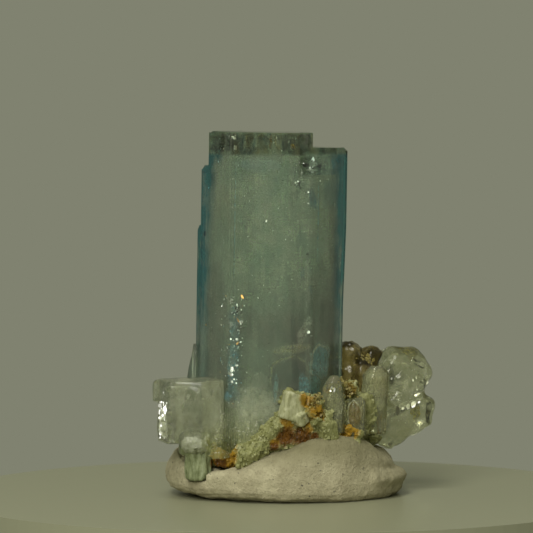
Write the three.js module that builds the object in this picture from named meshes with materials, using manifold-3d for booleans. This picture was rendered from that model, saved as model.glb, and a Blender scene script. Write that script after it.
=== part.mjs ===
// An aquamarine crystal specimen: a blue-green six-sided prism of beryl standing in a crust of granular
// feldspar and clear quartz crystals, held upright by a lump of display putty.
// Millimetres, +Z up. The origin is the centre of the putty's flat underside, -Y is the display side,
// and +X is to the right as the specimen is shown.

import * as THREE from "three";
import { mergeVertices } from "three/addons/utils/BufferGeometryUtils.js";
import Module from "manifold-3d";

const wasm = await Module();
wasm.setup();

// The aquamarine: its hexagonal outline, its lean to the right, and the heights its columns stop at.
const PRISM = { left: -9.15, right: 5.9, front: -6.1, back: 6.1, base: 5.0 };
const PRISM_LEAN = 0.9;
const TOP = { main: 36.2, shoulder: 34.75, frontStep: 32.1, leftStep: 32.8, leftRim: 26.8 };

// The putty: half sizes of the lump, the height of its widest part, how far it would bulge below that if
// it were not flat underneath, and how square its section is above and below.
const PUTTY = {
  halfWidth: 11.9,
  halfDepth: 10.3,
  widestAt: 2.2,
  under: 2.9,
  squareAbove: 0.6,
  squareBelow: 0.45,
};

// Pieces that grew against each other, or that the putty is pressed round, keep this gap.
const GAP = 0.25;

// ---- Solids --------------------------------------------------------------------------------------

function toSolid(geometry) {
  const bare = geometry.clone();
  bare.deleteAttribute("normal");
  bare.deleteAttribute("uv");
  const merged = mergeVertices(bare, 1e-5);
  return new wasm.Manifold(
    new wasm.Mesh({
      numProp: 3,
      vertProperties: merged.attributes.position.array,
      triVerts: new Uint32Array(merged.index.array),
    }),
  );
}

const join = (solids) => solids.reduce((whole, solid) => whole.add(solid));
const cut = (solid, cutters) => cutters.reduce((left, cutter) => left.subtract(cutter), solid);

// A geometry turned by [x, y, z] degrees and moved to a place, as a solid.
function place(geometry, at, turn = [0, 0, 0]) {
  const angles = turn.map(THREE.MathUtils.degToRad);
  const matrix = new THREE.Matrix4().makeRotationFromEuler(new THREE.Euler(...angles, "ZYX"));
  matrix.setPosition(...at);
  return toSolid(geometry.clone().applyMatrix4(matrix));
}

// An outline in X and Y, as a column from one height to another.
function column(outline, low, high) {
  const shape = new THREE.Shape(outline.map(([x, y]) => new THREE.Vector2(x, y)));
  const geometry = new THREE.ExtrudeGeometry(shape, { depth: high - low, bevelEnabled: false });
  return geometry.translate(0, 0, low);
}

// Cuts between rough faces can leave crumbs: this keeps only the triangles of the largest body.
function largestBody(triangles, vertexCount) {
  const parent = Array.from({ length: vertexCount }, (_, i) => i);
  const find = (i) => {
    while (parent[i] !== i) {
      parent[i] = parent[parent[i]];
      i = parent[i];
    }
    return i;
  };
  for (let t = 0; t < triangles.length; t += 3) {
    parent[find(triangles[t])] = find(triangles[t + 1]);
    parent[find(triangles[t + 1])] = find(triangles[t + 2]);
  }
  const count = new Map();
  for (const i of triangles) {
    count.set(find(i), (count.get(find(i)) ?? 0) + 1);
  }
  const [largest] = [...count].sort((a, b) => b[1] - a[1])[0];
  return triangles.filter((i) => find(i) === largest);
}

// ---- Aquamarine ----------------------------------------------------------------------------------

// Beryl is hexagonal, so its side faces meet at 120 degrees. Flat faces look to the front and back, and
// there is a corner at each side.
function hexagon({ left, right, front, back }) {
  const middle = (front + back) / 2;
  const inset = (back - front) / 2 / Math.tan(Math.PI / 3);
  return [
    [left, middle],
    [left + inset, front],
    [right - inset, front],
    [right, middle],
    [right - inset, back],
    [left + inset, back],
  ];
}

// The crystal grew as parallel columns that stopped at different heights, so its top is stepped. Each
// column is the part of the hexagon inside an outline of its own, and all of them are one solid.
function aquamarine(grow = 0) {
  const grown = {
    left: PRISM.left - grow,
    right: PRISM.right + grow,
    front: PRISM.front - grow,
    back: PRISM.back + grow,
  };
  const low = PRISM.base - grow;
  const far = 20;
  const steps = [
    { top: TOP.leftRim, outline: [[-far, -far], [far, -far], [far, far], [-far, far]] },
    { top: TOP.leftStep, outline: [[-8.75, -far], [0, -far], [0, far], [-8.75, far]] },
    { top: TOP.frontStep, outline: [[-2, -far], [far, -far], [far, far], [-2, far]] },
    { top: TOP.shoulder, outline: [[-2, -2.6], [5.2, -2.6], [far, 0.6], [far, far], [-2, far]] },
    { top: TOP.main, outline: [[-7.95, -far], [0.7, -far], [0.7, -4.6], [2.2, -3.2], [2.2, 3.4],
      [0.4, far], [-7.95, far]] },
  ];
  const turn = [0, PRISM_LEAN, 0];
  const whole = place(column(hexagon(grown), low, TOP.main + grow), [0, 0, 0], turn);
  const columns = steps.map(({ top, outline }) =>
    place(column(outline, low, top + grow), [0, 0, 0], turn).intersect(whole),
  );
  // A fin flares out from the left corner at the foot. Its outline is in X and Z.
  const fin = [[-8.5, 14.9], [-8.8, 13.6], [-9.05, 12.6], [-9.7, 11.8], [-10.0, 9.0], [-7.0, 8.0]];
  const grownFin = fin.map(([x, z]) => [x - grow, z]);
  const flare = place(column(grownFin, -1.1 - grow, 1.1 + grow), [0, 0, 0], [90, 0, 0]);
  return join([...columns, flare]);
}

// ---- Clear quartz --------------------------------------------------------------------------------

// A six-sided crystal standing on z = 0 with a corner at each side. Its end is flat, with a slope of the
// given height round it, and the flat left in the middle is a share of its width.
function sixSided({ radius, length, slope = 0, flat = 0.6 }, grow = 0) {
  const wide = radius + grow;
  const profile = [[0, -grow], [wide, -grow], [wide, length + grow - slope]];
  if (slope > 0) {
    profile.push([wide * flat, length + grow]);
  }
  profile.push([0, length + grow]);
  const points = profile.map(([r, h]) => new THREE.Vector2(r, h));
  return new THREE.LatheGeometry(points, 6).rotateY(Math.PI / 2).rotateX(Math.PI / 2);
}

const crystal = ({ at, turn, ...size }, grow) => place(sixSided(size, grow), at, turn);

// The short, thick crystal at the left, with a broken step down its outer side.
function clearCrystalLeft(grow = 0) {
  const crystals = [
    { at: [-9.25, -5.2, 5.7], turn: [0, 0, -9], radius: 3.3, length: 6.3, slope: 0.9, flat: 0.78 },
    { at: [-11.7, -4.4, 9.6], turn: [0, 0, 12], radius: 1.35, length: 2.1, slope: 0.3, flat: 0.8 },
  ];
  return join(crystals.map((one) => crystal(one, grow)));
}

const clearPointRight = (grow = 0) => crystal(
  { at: [4.85, -6.3, 6.7], turn: [0, 1, 8], radius: 1.15, length: 5.6, slope: 1.2, flat: 0.35 }, grow);

const clearColumnRight = (grow = 0) => crystal(
  { at: [6.95, -5.0, 6.3], turn: [-2, 2, 20], radius: 1.1, length: 3.7, slope: 0.4, flat: 0.7 }, grow);

const clearColumnSide = (grow = 0) => crystal(
  { at: [8.9, -0.6, 6.2], turn: [0, 3, 10], radius: 1.35, length: 6.6, slope: 0.9, flat: 0.5 }, grow);

// The two large crystals behind, at the right, have grown through each other and are one solid: a thick
// rounded one, and a wedge-shaped one under it that narrows downwards.
function rearClearCrystals(grow = 0) {
  const round = crystal(
    { at: [11.4, 7.4, 11.2], turn: [82, 0, 10], radius: 2.95, length: 5.6, slope: 1.0, flat: 0.7 }, grow);
  const outline = [[-3.4, 1.5], [-3.4, -0.9], [-1.0, -3.0], [3.3, -0.4], [3.4, 1.8], [0.6, 2.6]];
  const wide = (3.4 + grow) / 3.4;
  const wedge = place(
    column(outline.map(([x, y]) => [x * wide, y * wide]), -2.9 - grow, 2.9 + grow),
    [11.3, 4.4, 7.3],
    [90, 0, 8],
  );
  const root = crystal(
    { at: [4.4, 4.9, 8.4], turn: [0, 90, 5], radius: 1.9, length: 6.0 }, grow);
  return join([round, wedge, root]);
}

// Iron-stained crystals between the aquamarine and the large clear ones, grown together.
function stainedCrystals(grow = 0) {
  const crystals = [
    { at: [6.9, 2.9, 8.4], turn: [0, -3, 0], radius: 1.3, length: 6.6, slope: 0.6, flat: 0.5 },
    { at: [8.5, 3.5, 8.6], turn: [-6, 8, 30], radius: 1.35, length: 5.8, slope: 0.7, flat: 0.5 },
    { at: [7.6, 1.7, 8.2], turn: [8, 2, 15], radius: 1.1, length: 5.0, slope: 0.6, flat: 0.5 },
  ];
  return join(crystals.map((one) => crystal(one, grow)));
}

// ---- Crust ---------------------------------------------------------------------------------------

// A blocky cleavage grain: a box of the given half sizes with its corners taken off.
function grain({ at, half, turn = [0, 0, 0] }, grow = 0) {
  const [x, y, z] = half.map((size) => size + grow);
  const box = place(new THREE.BoxGeometry(2 * x, 2 * y, 2 * z), at, turn);
  const corners = place(new THREE.OctahedronGeometry(1).scale(2.1 * x, 2.1 * y, 2.1 * z), at, turn);
  return box.intersect(corners);
}

// The broken, fluted stub that reaches down into the putty at the left, with a granular cap on it.
function flutedStub(grow = 0) {
  return join([
    crystal({ at: [-8.45, -6.6, 2.2], turn: [0, -3, 10], radius: 1.25, length: 3.2 }, grow),
    crystal({ at: [-8.35, -6.5, 2.5], turn: [0, 0, 40], radius: 1.2, length: 2.9 }, grow),
    grain({ at: [-8.8, -6.5, 5.35], half: [1.35, 1.2, 0.9], turn: [0, 8, 12] }, grow),
  ]);
}

// The milky quartz that the foot of the aquamarine grew into.
function milkyQuartz(grow = 0) {
  const grains = [
    { at: [-4.7, -6.0, 7.4], half: [2.0, 1.5, 2.3], turn: [8, 6, 15] },
    { at: [-2.4, -6.3, 7.6], half: [1.7, 1.4, 2.1], turn: [-6, 14, -10] },
    { at: [-5.9, -4.9, 6.7], half: [1.5, 1.6, 1.9], turn: [0, -8, 30] },
  ];
  return join(grains.map((one) => grain(one, grow)));
}

// Granular feldspar: the grains along the front from left to right, then those round the back, then
// the mass that they all grew on.
const GRAINS = [
  { at: [-6.0, -5.9, 4.6], half: [1.5, 1.4, 1.3], turn: [0, 12, 20] },
  { at: [-4.1, -6.9, 4.9], half: [0.95, 1.0, 0.95], turn: [0, 42, 10] },
  { at: [-2.5, -6.7, 5.4], half: [1.3, 1.3, 1.0], turn: [15, -20, 0] },
  { at: [-1.0, -6.7, 6.5], half: [1.3, 1.3, 1.3], turn: [10, 30, 20] },
  { at: [0.9, -7.1, 9.4], half: [1.2, 1.2, 1.5], turn: [5, 12, 10] },
  { at: [0.2, -6.7, 7.7], half: [1.3, 1.2, 1.1], turn: [20, -25, 0] },
  { at: [2.5, -6.9, 9.2], half: [0.9, 1.0, 1.1], turn: [25, 20, 40] },
  { at: [3.4, -6.7, 8.2], half: [1.0, 1.0, 1.1], turn: [0, 35, 10] },
  { at: [4.3, -7.0, 6.9], half: [0.9, 0.9, 1.0], turn: [8, 5, 20] },
  { at: [0.7, -6.2, 6.2], half: [1.6, 1.3, 1.4], turn: [10, 0, 5] },
  { at: [2.6, -6.2, 6.8], half: [1.5, 1.3, 1.4], turn: [0, 15, 30] },
  { at: [6.2, -4.9, 6.7], half: [1.6, 1.4, 1.1], turn: [20, -10, 0] },
  { at: [6.4, -3.3, 10.5], half: [0.9, 0.9, 1.0], turn: [20, 30, 0] },
  { at: [7.2, -2.6, 8.3], half: [1.4, 1.6, 2.0], turn: [0, 12, 25] },
  { at: [-7.7, -3.0, 5.6], half: [1.9, 2.2, 1.5], turn: [0, 10, 30] },
  { at: [-8.2, 0.6, 6.1], half: [1.6, 2.4, 1.9], turn: [10, 0, 15] },
  { at: [-6.2, 4.0, 6.3], half: [2.2, 1.9, 2.0], turn: [0, 20, 35] },
  { at: [-3.2, 6.0, 5.9], half: [2.2, 1.7, 2.1], turn: [12, 10, -8] },
  { at: [0.3, 6.4, 6.8], half: [2.0, 1.6, 2.3], turn: [15, 0, 20] },
  { at: [3.4, 5.6, 6.6], half: [2.2, 1.9, 2.2], turn: [0, 25, 10] },
  { at: [6.3, 3.6, 7.0], half: [2.1, 2.2, 2.1], turn: [0, 15, 40] },
  { at: [7.6, 0.6, 6.9], half: [2.0, 2.4, 1.9], turn: [20, 0, 0] },
  { at: [-3.8, -1.4, 4.7], half: [4.6, 5.4, 1.3], turn: [0, 0, 10] },
  { at: [2.9, -0.8, 5.2], half: [4.6, 5.8, 1.6], turn: [0, -6, 0] },
];

const granularCrust = (grow = 0) => join(GRAINS.map((one) => grain(one, grow)));

// ---- Putty ---------------------------------------------------------------------------------------

// The top of the lump as it was before the specimen sank into it: it climbs to the right and falls away
// past x = 6, and at the left it is turned up into a rim.
function puttyTop(x) {
  const rim = 3.0 * Math.exp(-(((x + 10.7) / 1.5) ** 2));
  const fall = 0.09 * Math.max(x - 6, 0) ** 2;
  return 4.85 + 0.19 * x + rim - fall;
}

// The widest part of the lump is lower at the right than at the left.
const puttyWidest = (x) => PUTTY.widestAt - 0.03 * x;

// The lump is a ball stretched to its half sizes and squared up in section, with a flat underside.
function puttyLump() {
  const { halfWidth, halfDepth, under, squareAbove, squareBelow } = PUTTY;
  const ball = new THREE.SphereGeometry(1, 44, 22).rotateX(Math.PI / 2);
  const points = ball.attributes.position;
  for (let i = 0; i < points.count; i++) {
    const x = halfWidth * points.getX(i);
    const y = halfDepth * points.getY(i);
    const height = points.getZ(i);
    const lift = height > 0
      ? height ** squareAbove * (puttyTop(x) - puttyWidest(x))
      : -(Math.abs(height) ** squareBelow) * under;
    points.setXYZ(i, x, y, puttyWidest(x) + lift);
  }
  const shelf = place(new THREE.BoxGeometry(60, 60, 20), [0, 0, -10]);
  return toSolid(ball).subtract(shelf);
}

// ---- Assembly ------------------------------------------------------------------------------------

// Each piece is cut round all the pieces above it in this list, which grew first or are harder. Its
// own origin is its root: the place where it is fixed.
const PIECES = [
  {
    name: "aquamarine_prism",
    make: aquamarine,
    root: [-1.2, 0, 5],
    colour: 0x6d9384,
    roughness: 0.12,
  },
  {
    name: "clear_crystal_left",
    make: clearCrystalLeft,
    root: [-9, -5, 6],
    colour: 0xc9cfba,
    roughness: 0.08,
  },
  {
    name: "clear_point_right",
    make: clearPointRight,
    root: [4.9, -6.3, 7],
    colour: 0xc4c8a8,
    roughness: 0.1,
  },
  {
    name: "clear_column_right",
    make: clearColumnRight,
    root: [7, -5, 7],
    colour: 0xbfc2a0,
    roughness: 0.1,
  },
  {
    name: "clear_column_side",
    make: clearColumnSide,
    root: [8.9, -0.6, 7],
    colour: 0xaeb292,
    roughness: 0.1,
  },
  {
    name: "clear_crystals_rear",
    make: rearClearCrystals,
    root: [7, 4.9, 8],
    colour: 0xc6ccb0,
    roughness: 0.1,
  },
  {
    name: "stained_crystals",
    make: stainedCrystals,
    root: [7.6, 2.8, 8],
    colour: 0x6b6124,
    roughness: 0.4,
  },
  {
    name: "fluted_stub",
    make: flutedStub,
    root: [-8.6, -6.5, 5],
    colour: 0xa9b48c,
    roughness: 0.35,
  },
  {
    name: "milky_quartz_foot",
    make: milkyQuartz,
    root: [-4, -6, 6],
    colour: 0xbdc4a4,
    roughness: 0.3,
  },
  {
    name: "granular_feldspar",
    make: granularCrust,
    root: [-1, 0, 5],
    colour: 0xb3b184,
    roughness: 0.7,
  },
  {
    name: "putty_lump",
    make: puttyLump,
    root: [0, 0, 0],
    colour: 0xb5ad8c,
    roughness: 0.85,
  },
];

function toMesh({ name, root, colour, roughness }, solid) {
  const { vertProperties, triVerts } = solid.getMesh();
  const geometry = new THREE.BufferGeometry();
  geometry.setAttribute("position", new THREE.BufferAttribute(new Float32Array(vertProperties), 3));
  geometry.setIndex(new THREE.BufferAttribute(largestBody(triVerts, vertProperties.length / 3), 1));
  geometry.translate(-root[0], -root[1], -root[2]);
  geometry.computeVertexNormals();
  const material = new THREE.MeshStandardMaterial({ color: colour, roughness, metalness: 0 });
  const mesh = new THREE.Mesh(geometry, material);
  mesh.name = name;
  mesh.position.set(...root);
  return mesh;
}

const group = new THREE.Group();
PIECES.forEach((piece, i) => {
  const cutters = PIECES.slice(0, i).map((earlier) => earlier.make(GAP));
  group.add(toMesh(piece, cut(piece.make(), cutters)));
});

export default group;
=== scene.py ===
"""An aquamarine prism on its crust of feldspar and clear quartz, stood up in a lump of display putty."""

import math
import random

import bmesh
import bpy
from mathutils import Euler, Matrix, Vector, noise
from mathutils.kdtree import KDTree


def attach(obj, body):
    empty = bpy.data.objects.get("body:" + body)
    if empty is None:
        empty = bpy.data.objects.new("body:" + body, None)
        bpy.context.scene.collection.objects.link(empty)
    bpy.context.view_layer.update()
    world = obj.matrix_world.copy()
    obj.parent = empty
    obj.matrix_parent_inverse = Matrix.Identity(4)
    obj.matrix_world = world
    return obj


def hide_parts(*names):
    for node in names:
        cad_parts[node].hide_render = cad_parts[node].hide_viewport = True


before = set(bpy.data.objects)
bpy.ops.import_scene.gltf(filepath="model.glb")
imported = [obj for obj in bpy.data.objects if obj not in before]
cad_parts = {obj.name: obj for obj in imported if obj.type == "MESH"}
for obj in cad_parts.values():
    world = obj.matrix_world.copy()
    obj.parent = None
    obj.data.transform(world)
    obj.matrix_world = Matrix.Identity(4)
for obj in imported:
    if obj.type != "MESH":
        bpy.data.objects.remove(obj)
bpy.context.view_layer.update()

# ---- Aquamarine prism ------------------------------------------------------------------------------
# A stout six-sided crystal of blue-green beryl. It grew as parallel columns that stopped at different
# heights, so its top and its left side are stepped, and its side faces carry fine upright flutes.

MM = 0.001
PRISM_LEFT, PRISM_RIGHT, PRISM_HALF_DEPTH = -9.15, 5.9, 6.1
PRISM_BASE = 5.0
PRISM_LEAN = math.radians(0.9)
FLUTES_APART, FLUTE_DEPTH, CORNER_BLUNT = 0.34, 0.035, 0.2
EDGE_WIDTH = 0.035


def hexagon_corners(left, right, half_depth):
    """The corners of a six-sided crystal, anticlockwise from above, with a corner at each side."""
    inset = half_depth / math.tan(math.pi / 3)
    return [
        Vector((left, 0)),
        Vector((left + inset, -half_depth)),
        Vector((right - inset, -half_depth)),
        Vector((right, 0)),
        Vector((right - inset, half_depth)),
        Vector((left + inset, half_depth)),
    ]


def fluted(corners, spacing, depth, blunt, seed):
    """The outline through the corners, with shallow flutes about that far apart along each side, and
    the corners taken off by that much."""
    chance = random.Random(seed)
    outline = []
    for corner, next_corner in zip(corners, corners[1:] + corners[:1]):
        towards = (next_corner - corner).normalized()
        start, end = corner + blunt * towards, next_corner - blunt * towards
        along = end - start
        inward = Vector((-along.y, along.x)).normalized()
        count = max(1, round(along.length / spacing))
        step = 0.0
        outline.append(start)
        for i in range(1, count):
            step += chance.choice((-1, 0, 0, 1)) * chance.uniform(0.4, 1.0) * depth
            step = min(max(step, 0.0), 3 * depth)
            outline.append(start.lerp(end, (i + chance.uniform(-0.25, 0.25)) / count) + inward * step)
        outline.append(end)
    return outline


def faces_of(made):
    return [item for item in made["geom"] if isinstance(item, bmesh.types.BMFace)]


def grow_columns(bm, outline, base, terraces):
    """Pulls an outline up from the base. At each terrace's height the top is split along its lines, and
    the parts that its test picks stop growing there."""
    top = [bm.faces.new([bm.verts.new((point.x, point.y, base)) for point in outline])]
    for height, lines, stops in terraces:
        below = [face for face in top if len(bm.faces) > 1]
        top = faces_of(bmesh.ops.extrude_face_region(bm, geom=top))
        bmesh.ops.delete(bm, geom=below, context="FACES_ONLY")
        for vert in {vert for face in top for vert in face.verts}:
            vert.co.z = height
        for point, across in lines:
            edges = dict.fromkeys(edge for face in top for edge in face.edges)
            verts = dict.fromkeys(vert for face in top for vert in face.verts)
            top = faces_of(
                bmesh.ops.bisect_plane(
                    bm,
                    geom=[*top, *edges, *verts],
                    dist=1e-5,
                    plane_co=(*point, height),
                    plane_no=(*across, 0),
                )
            )
        top = [face for face in top if not stops(face.calc_center_median())]


SHARP = math.radians(35)


def break_level_edges(bm, width):
    """Takes off the knife edges of a crystal's ledges, as growth and handling do. Upright ones stay."""
    bmesh.ops.remove_doubles(bm, verts=bm.verts, dist=1.6 * width)
    bmesh.ops.dissolve_degenerate(bm, edges=bm.edges, dist=0.5 * width)
    bmesh.ops.recalc_face_normals(bm, faces=bm.faces)
    edges = [edge for edge in bm.edges if edge.is_manifold and edge.calc_face_angle() > SHARP]
    edges = [edge for edge in edges if abs(edge.verts[0].co.z - edge.verts[1].co.z) < width]
    bmesh.ops.bevel(
        bm,
        geom=edges,
        offset=width,
        offset_type="OFFSET",
        affect="EDGES",
        segments=1,
        profile=0.5,
        material=-1,
        clamp_overlap=True,
    )


def ramp(value, start, wide):
    """How far a value is along a stretch that starts there and is that wide, from 0 to 1."""
    return max(0.0, min(1.0, (value - start) / wide))


def linear(code):
    """An sRGB hex colour as the linear red, green, blue and alpha that the shaders take."""
    parts = [int(code[i : i + 2], 16) / 255 for i in (1, 3, 5)]
    return (*[c / 12.92 if c <= 0.04045 else ((c + 0.055) / 1.055) ** 2.4 for c in parts], 1.0)


def add(tree, kind, inputs=None, give=0, **settings):
    """Adds a node with its settings and gives one of its outputs. Each input is a value, or the socket
    that it is linked from. A Map Range takes its value as input 0, the range that it comes from as 1
    and 2, and the range that it goes to as 3 and 4. A Mix takes its share as 0 and its colours as 6
    and 7."""
    node = tree.nodes.new("ShaderNode" + kind)
    for name, value in settings.items():
        setattr(node, name, value)
    for name, value in (inputs or {}).items():
        if isinstance(value, bpy.types.NodeSocket):
            tree.links.new(value, node.inputs[name])
        else:
            node.inputs[name].default_value = value
    return node.outputs[give] if node.outputs else None


# A Mix node that mixes two colours, and gives the mixed one.
COLOURS = {"data_type": "RGBA", "give": 2}


def new_material(name):
    """An empty material and its node tree."""
    made = bpy.data.materials.new(name)
    made.use_nodes = True
    made.node_tree.nodes.clear()
    return made, made.node_tree


def finish_piece(bm, name, finish, slot, nodes, smooth=False):
    """Turns a bmesh drawn in millimetres into a piece that rides with the specimen."""
    bmesh.ops.scale(bm, vec=(MM, MM, MM), verts=bm.verts)
    mesh = bpy.data.meshes.new(name)
    bm.to_mesh(mesh)
    bm.free()
    mesh.shade_smooth() if smooth else mesh.shade_flat()
    mesh.materials.append(finish)
    piece = bpy.data.objects.new(name, mesh)
    bpy.context.scene.collection.objects.link(piece)
    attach(piece, "root")
    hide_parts(*nodes)


def aquamarine_finish():
    # Aquamarine, grown: glassy beryl, clear but hazy, greyish green in the middle and blue in the thin
    # columns along its sides, with fine upright flutes. Its last two millimetres are a darker patchwork.
    made, tree = new_material("aquamarine")
    place = add(tree, "TexCoord", give="Object")
    z = add(tree, "SeparateXYZ", {0: place}, give="Z")
    side = add(tree, "Attribute", give="Fac", attribute_name="side")
    upright = add(tree, "Mapping", {"Vector": place, "Scale": (2600, 2600, 260)})
    streaks = add(tree, "TexNoise", {"Vector": upright, "Scale": 1.0, "Detail": 6.0, "Roughness": 0.7})
    clouds = add(tree, "TexNoise", {"Vector": place, "Scale": 420, "Detail": 7.0, "Roughness": 0.68})
    mottle = add(tree, "Math", {0: streaks, 1: clouds}, operation="ADD")
    share = add(tree, "MapRange", {0: mottle, 1: 0.78, 2: 1.22})
    body = add(tree, "Mix", {0: share, 6: linear("#c9dcca"), 7: linear("#f2f5e2")}, **COLOURS)
    # Blue comes in over the last millimetre at each side, in patches, and fades towards the foot.
    fading = add(tree, "MapRange", {0: z, 1: 0.0130, 2: 0.0215, 3: 0.4, 4: 1.4})
    patches = add(tree, "MapRange", {0: mottle, 1: 0.8, 2: 1.2, 3: 1.2, 4: 0.4})
    blue = add(tree, "Math", {0: side, 1: fading}, operation="MULTIPLY")
    blue = add(tree, "Math", {0: blue, 1: patches}, operation="MULTIPLY", use_clamp=True)
    tinted = add(tree, "Mix", {0: blue, 6: body, 7: linear("#1f87a0")}, **COLOURS)
    late = add(tree, "MapRange", {0: z, 1: 0.0339, 2: 0.0342})
    blocky = add(tree, "Mapping", {"Vector": place, "Scale": (900, 900, 230)})
    blocks = add(tree, "TexNoise", {"Vector": blocky, "Scale": 1.0, "Detail": 5.0, "Roughness": 0.65})
    patchwork = add(tree, "ValToRGB", {0: blocks}, give="Color")
    stops = patchwork.node.color_ramp.elements
    stops.remove(stops[1])
    stops[0].position, stops[0].color = 0.38, linear("#1d2416")
    for where, code in (
        (0.42, "#7b9478"),
        (0.45, "#1f6f70"),
        (0.49, "#d2dcb8"),
        (0.53, "#5d7350"),
        (0.57, "#9a8a34"),
        (0.61, "#a6b898"),
        (0.65, "#171c12"),
    ):
        stops.new(where).color = linear(code)
    cap = add(tree, "Math", {0: late, 1: 0.72}, operation="MULTIPLY")
    tinted = add(tree, "Mix", {0: cap, 6: tinted, 7: patchwork}, **COLOURS)
    dullness = add(tree, "MapRange", {0: clouds, 1: 0.35, 2: 0.7, 3: 0.03, 4: 0.14})
    relief = add(tree, "Bump", {"Height": streaks, "Strength": 0.35, "Distance": 0.00006})
    look = {
        "Base Color": tinted, "Roughness": dullness, "IOR": 1.577, "Transmission Weight": 0.92,
        "Normal": relief,
    }
    surface = add(tree, "BsdfPrincipled", look)
    depth = add(tree, "VolumeAbsorption", {"Color": (0.68, 0.90, 0.84, 1.0), "Density": 45.0})
    add(tree, "OutputMaterial", {"Surface": surface, "Volume": depth})
    return made


AQUAMARINE = aquamarine_finish()
# The terraces from the foot up: each one's height, the lines that split its top (a point and the
# direction across it), and which parts stop growing there.
LINE_ACROSS_X = (1.0, 0.0)
LINE_ACROSS_Y = (0.0, 1.0)
TERRACES = [
    (18.9, [], lambda c: False),
    (26.8, [((-8.75, 0), (1.0, 0.05))], lambda c: c.x < -8.75),
    (30.4, [((-6.6, 5.0), (0.5, -0.87))], lambda c: c.y > 4.9 and c.x < -6.0),
    (32.1, [((1.0, 0), LINE_ACROSS_X), ((0, -2.7), (-0.12, 1.0))], lambda c: c.x > 1.0 and c.y < -2.6),
    (32.8, [((-7.95, 0), (1.0, -0.04))], lambda c: c.x < -7.95),
    (33.7, [((4.6, 0), LINE_ACROSS_X), ((0, 1.4), LINE_ACROSS_Y)], lambda c: c.x > 4.6 and c.y > 1.4),
    (34.75, [((2.25, 0), (1.0, 0.02))], lambda c: c.x > 2.25),
    (36.05, [((-3.4, 0), (1.0, 0.3)), ((0, 3.1), (0.1, 1.0))], lambda c: c.y > 3.1 and c.x < -3.4),
    (36.2, [], lambda c: True),
]
# Each outer corner of a terrace is worn down: its height, where its edge is, the side it is on, and how
# far it is worn.
WORN_CORNERS = [(26.8, -8.95, -1, 0.5), (32.8, -8.5, -1, 0.45), (36.2, -7.75, -1, 0.12), (34.75, 5.5, 1, 0.3)]
# How far out the crystal's left side stands, up to each height, and how wide its blue sides are.
LEFT_SIDES = [(26.9, PRISM_LEFT), (32.9, -8.75), (37.0, -7.95)]
BLUE_LEFT, BLUE_RIGHT = 1.6, 1.5
LEDGE_HEIGHT, LEDGE_START, NARROWER = 19.0, 3.0, 0.07


def terraced_prism():
    """The whole stepped crystal, upright."""
    corners = hexagon_corners(PRISM_LEFT, PRISM_RIGHT, PRISM_HALF_DEPTH)
    bm = bmesh.new()
    grow_columns(bm, fluted(corners, FLUTES_APART, FLUTE_DEPTH, CORNER_BLUNT, seed=4), PRISM_BASE, TERRACES)
    for vert in bm.verts:
        # Below a ledge half way up, the right-hand corner is a little narrower.
        if vert.co.z < LEDGE_HEIGHT and vert.co.x > LEDGE_START:
            vert.co.x -= NARROWER * (vert.co.x - LEDGE_START)
        for height, edge, side, drop in WORN_CORNERS:
            if abs(vert.co.z - height) < 0.01 and side * (vert.co.x - edge) > 0:
                vert.co.z -= drop
    return bm


def lean(bm):
    """Leans what was made upright to the right, as the crystal stands."""
    bmesh.ops.rotate(bm, cent=(0, 0, 0), matrix=Matrix.Rotation(PRISM_LEAN, 3, "Y"), verts=bm.verts)


prism = terraced_prism()
break_level_edges(prism, EDGE_WIDTH)
near_side = prism.verts.layers.float.new("side")
for vert in prism.verts:
    left_side = next(side for height, side in LEFT_SIDES if vert.co.z < height)
    inward = min((vert.co.x - left_side) / BLUE_LEFT, (PRISM_RIGHT - vert.co.x) / BLUE_RIGHT)
    vert[near_side] = ramp(inward, 1.0, -0.5)
lean(prism)
finish_piece(prism, "aquamarine_crystal", AQUAMARINE, "aquamarine", ["aquamarine_prism"])

# A thin fin stands out from the left corner at the foot. It narrows upwards and is broken off below.
FIN_LOW, FIN_HIGH, FIN_HALF_THICK = 8.0, 14.9, 0.7
FIN_ROOT, FIN_LOW_EDGE, FIN_HIGH_EDGE = -9.0, -10.15, -9.3
fin = bmesh.new()
bmesh.ops.create_cube(fin, size=1.0)
for vert in fin.verts:
    outer, upper = vert.co.x < 0, vert.co.z > 0
    across = (FIN_HIGH_EDGE if upper else FIN_LOW_EDGE) if outer else FIN_ROOT
    thick = 2 * FIN_HALF_THICK * vert.co.y * (0.3 if outer else 1.0)
    vert.co = Vector((across, thick, FIN_HIGH if upper else FIN_LOW))
bmesh.ops.subdivide_edges(fin, edges=fin.edges[:], cuts=5, use_grid_fill=True)
for vert in fin.verts:
    if vert.co.x < FIN_ROOT - 0.05:
        vert.co.x += 0.25 * math.sin((vert.co.z - FIN_LOW) * 1.1) * (FIN_ROOT - vert.co.x)
        vert.co.x += 0.12 * noise.noise(vert.co * 1.3)
fin_side = fin.verts.layers.float.new("side")
for vert in fin.verts:
    vert[fin_side] = 0.0
lean(fin)
finish_piece(fin, "aquamarine_fin", AQUAMARINE, "aquamarine", ["aquamarine_prism"], smooth=True)

# ---- Inside the aquamarine -------------------------------------------------------------------------
# What the crystal closed round as it grew: hazy growth zones one inside the other, healed cracks,
# mirror-bright flakes, dark grains and filled tubes. All of it is sealed in the prism.

IN_PRISM = ("inclusions", ["aquamarine_prism"])


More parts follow.
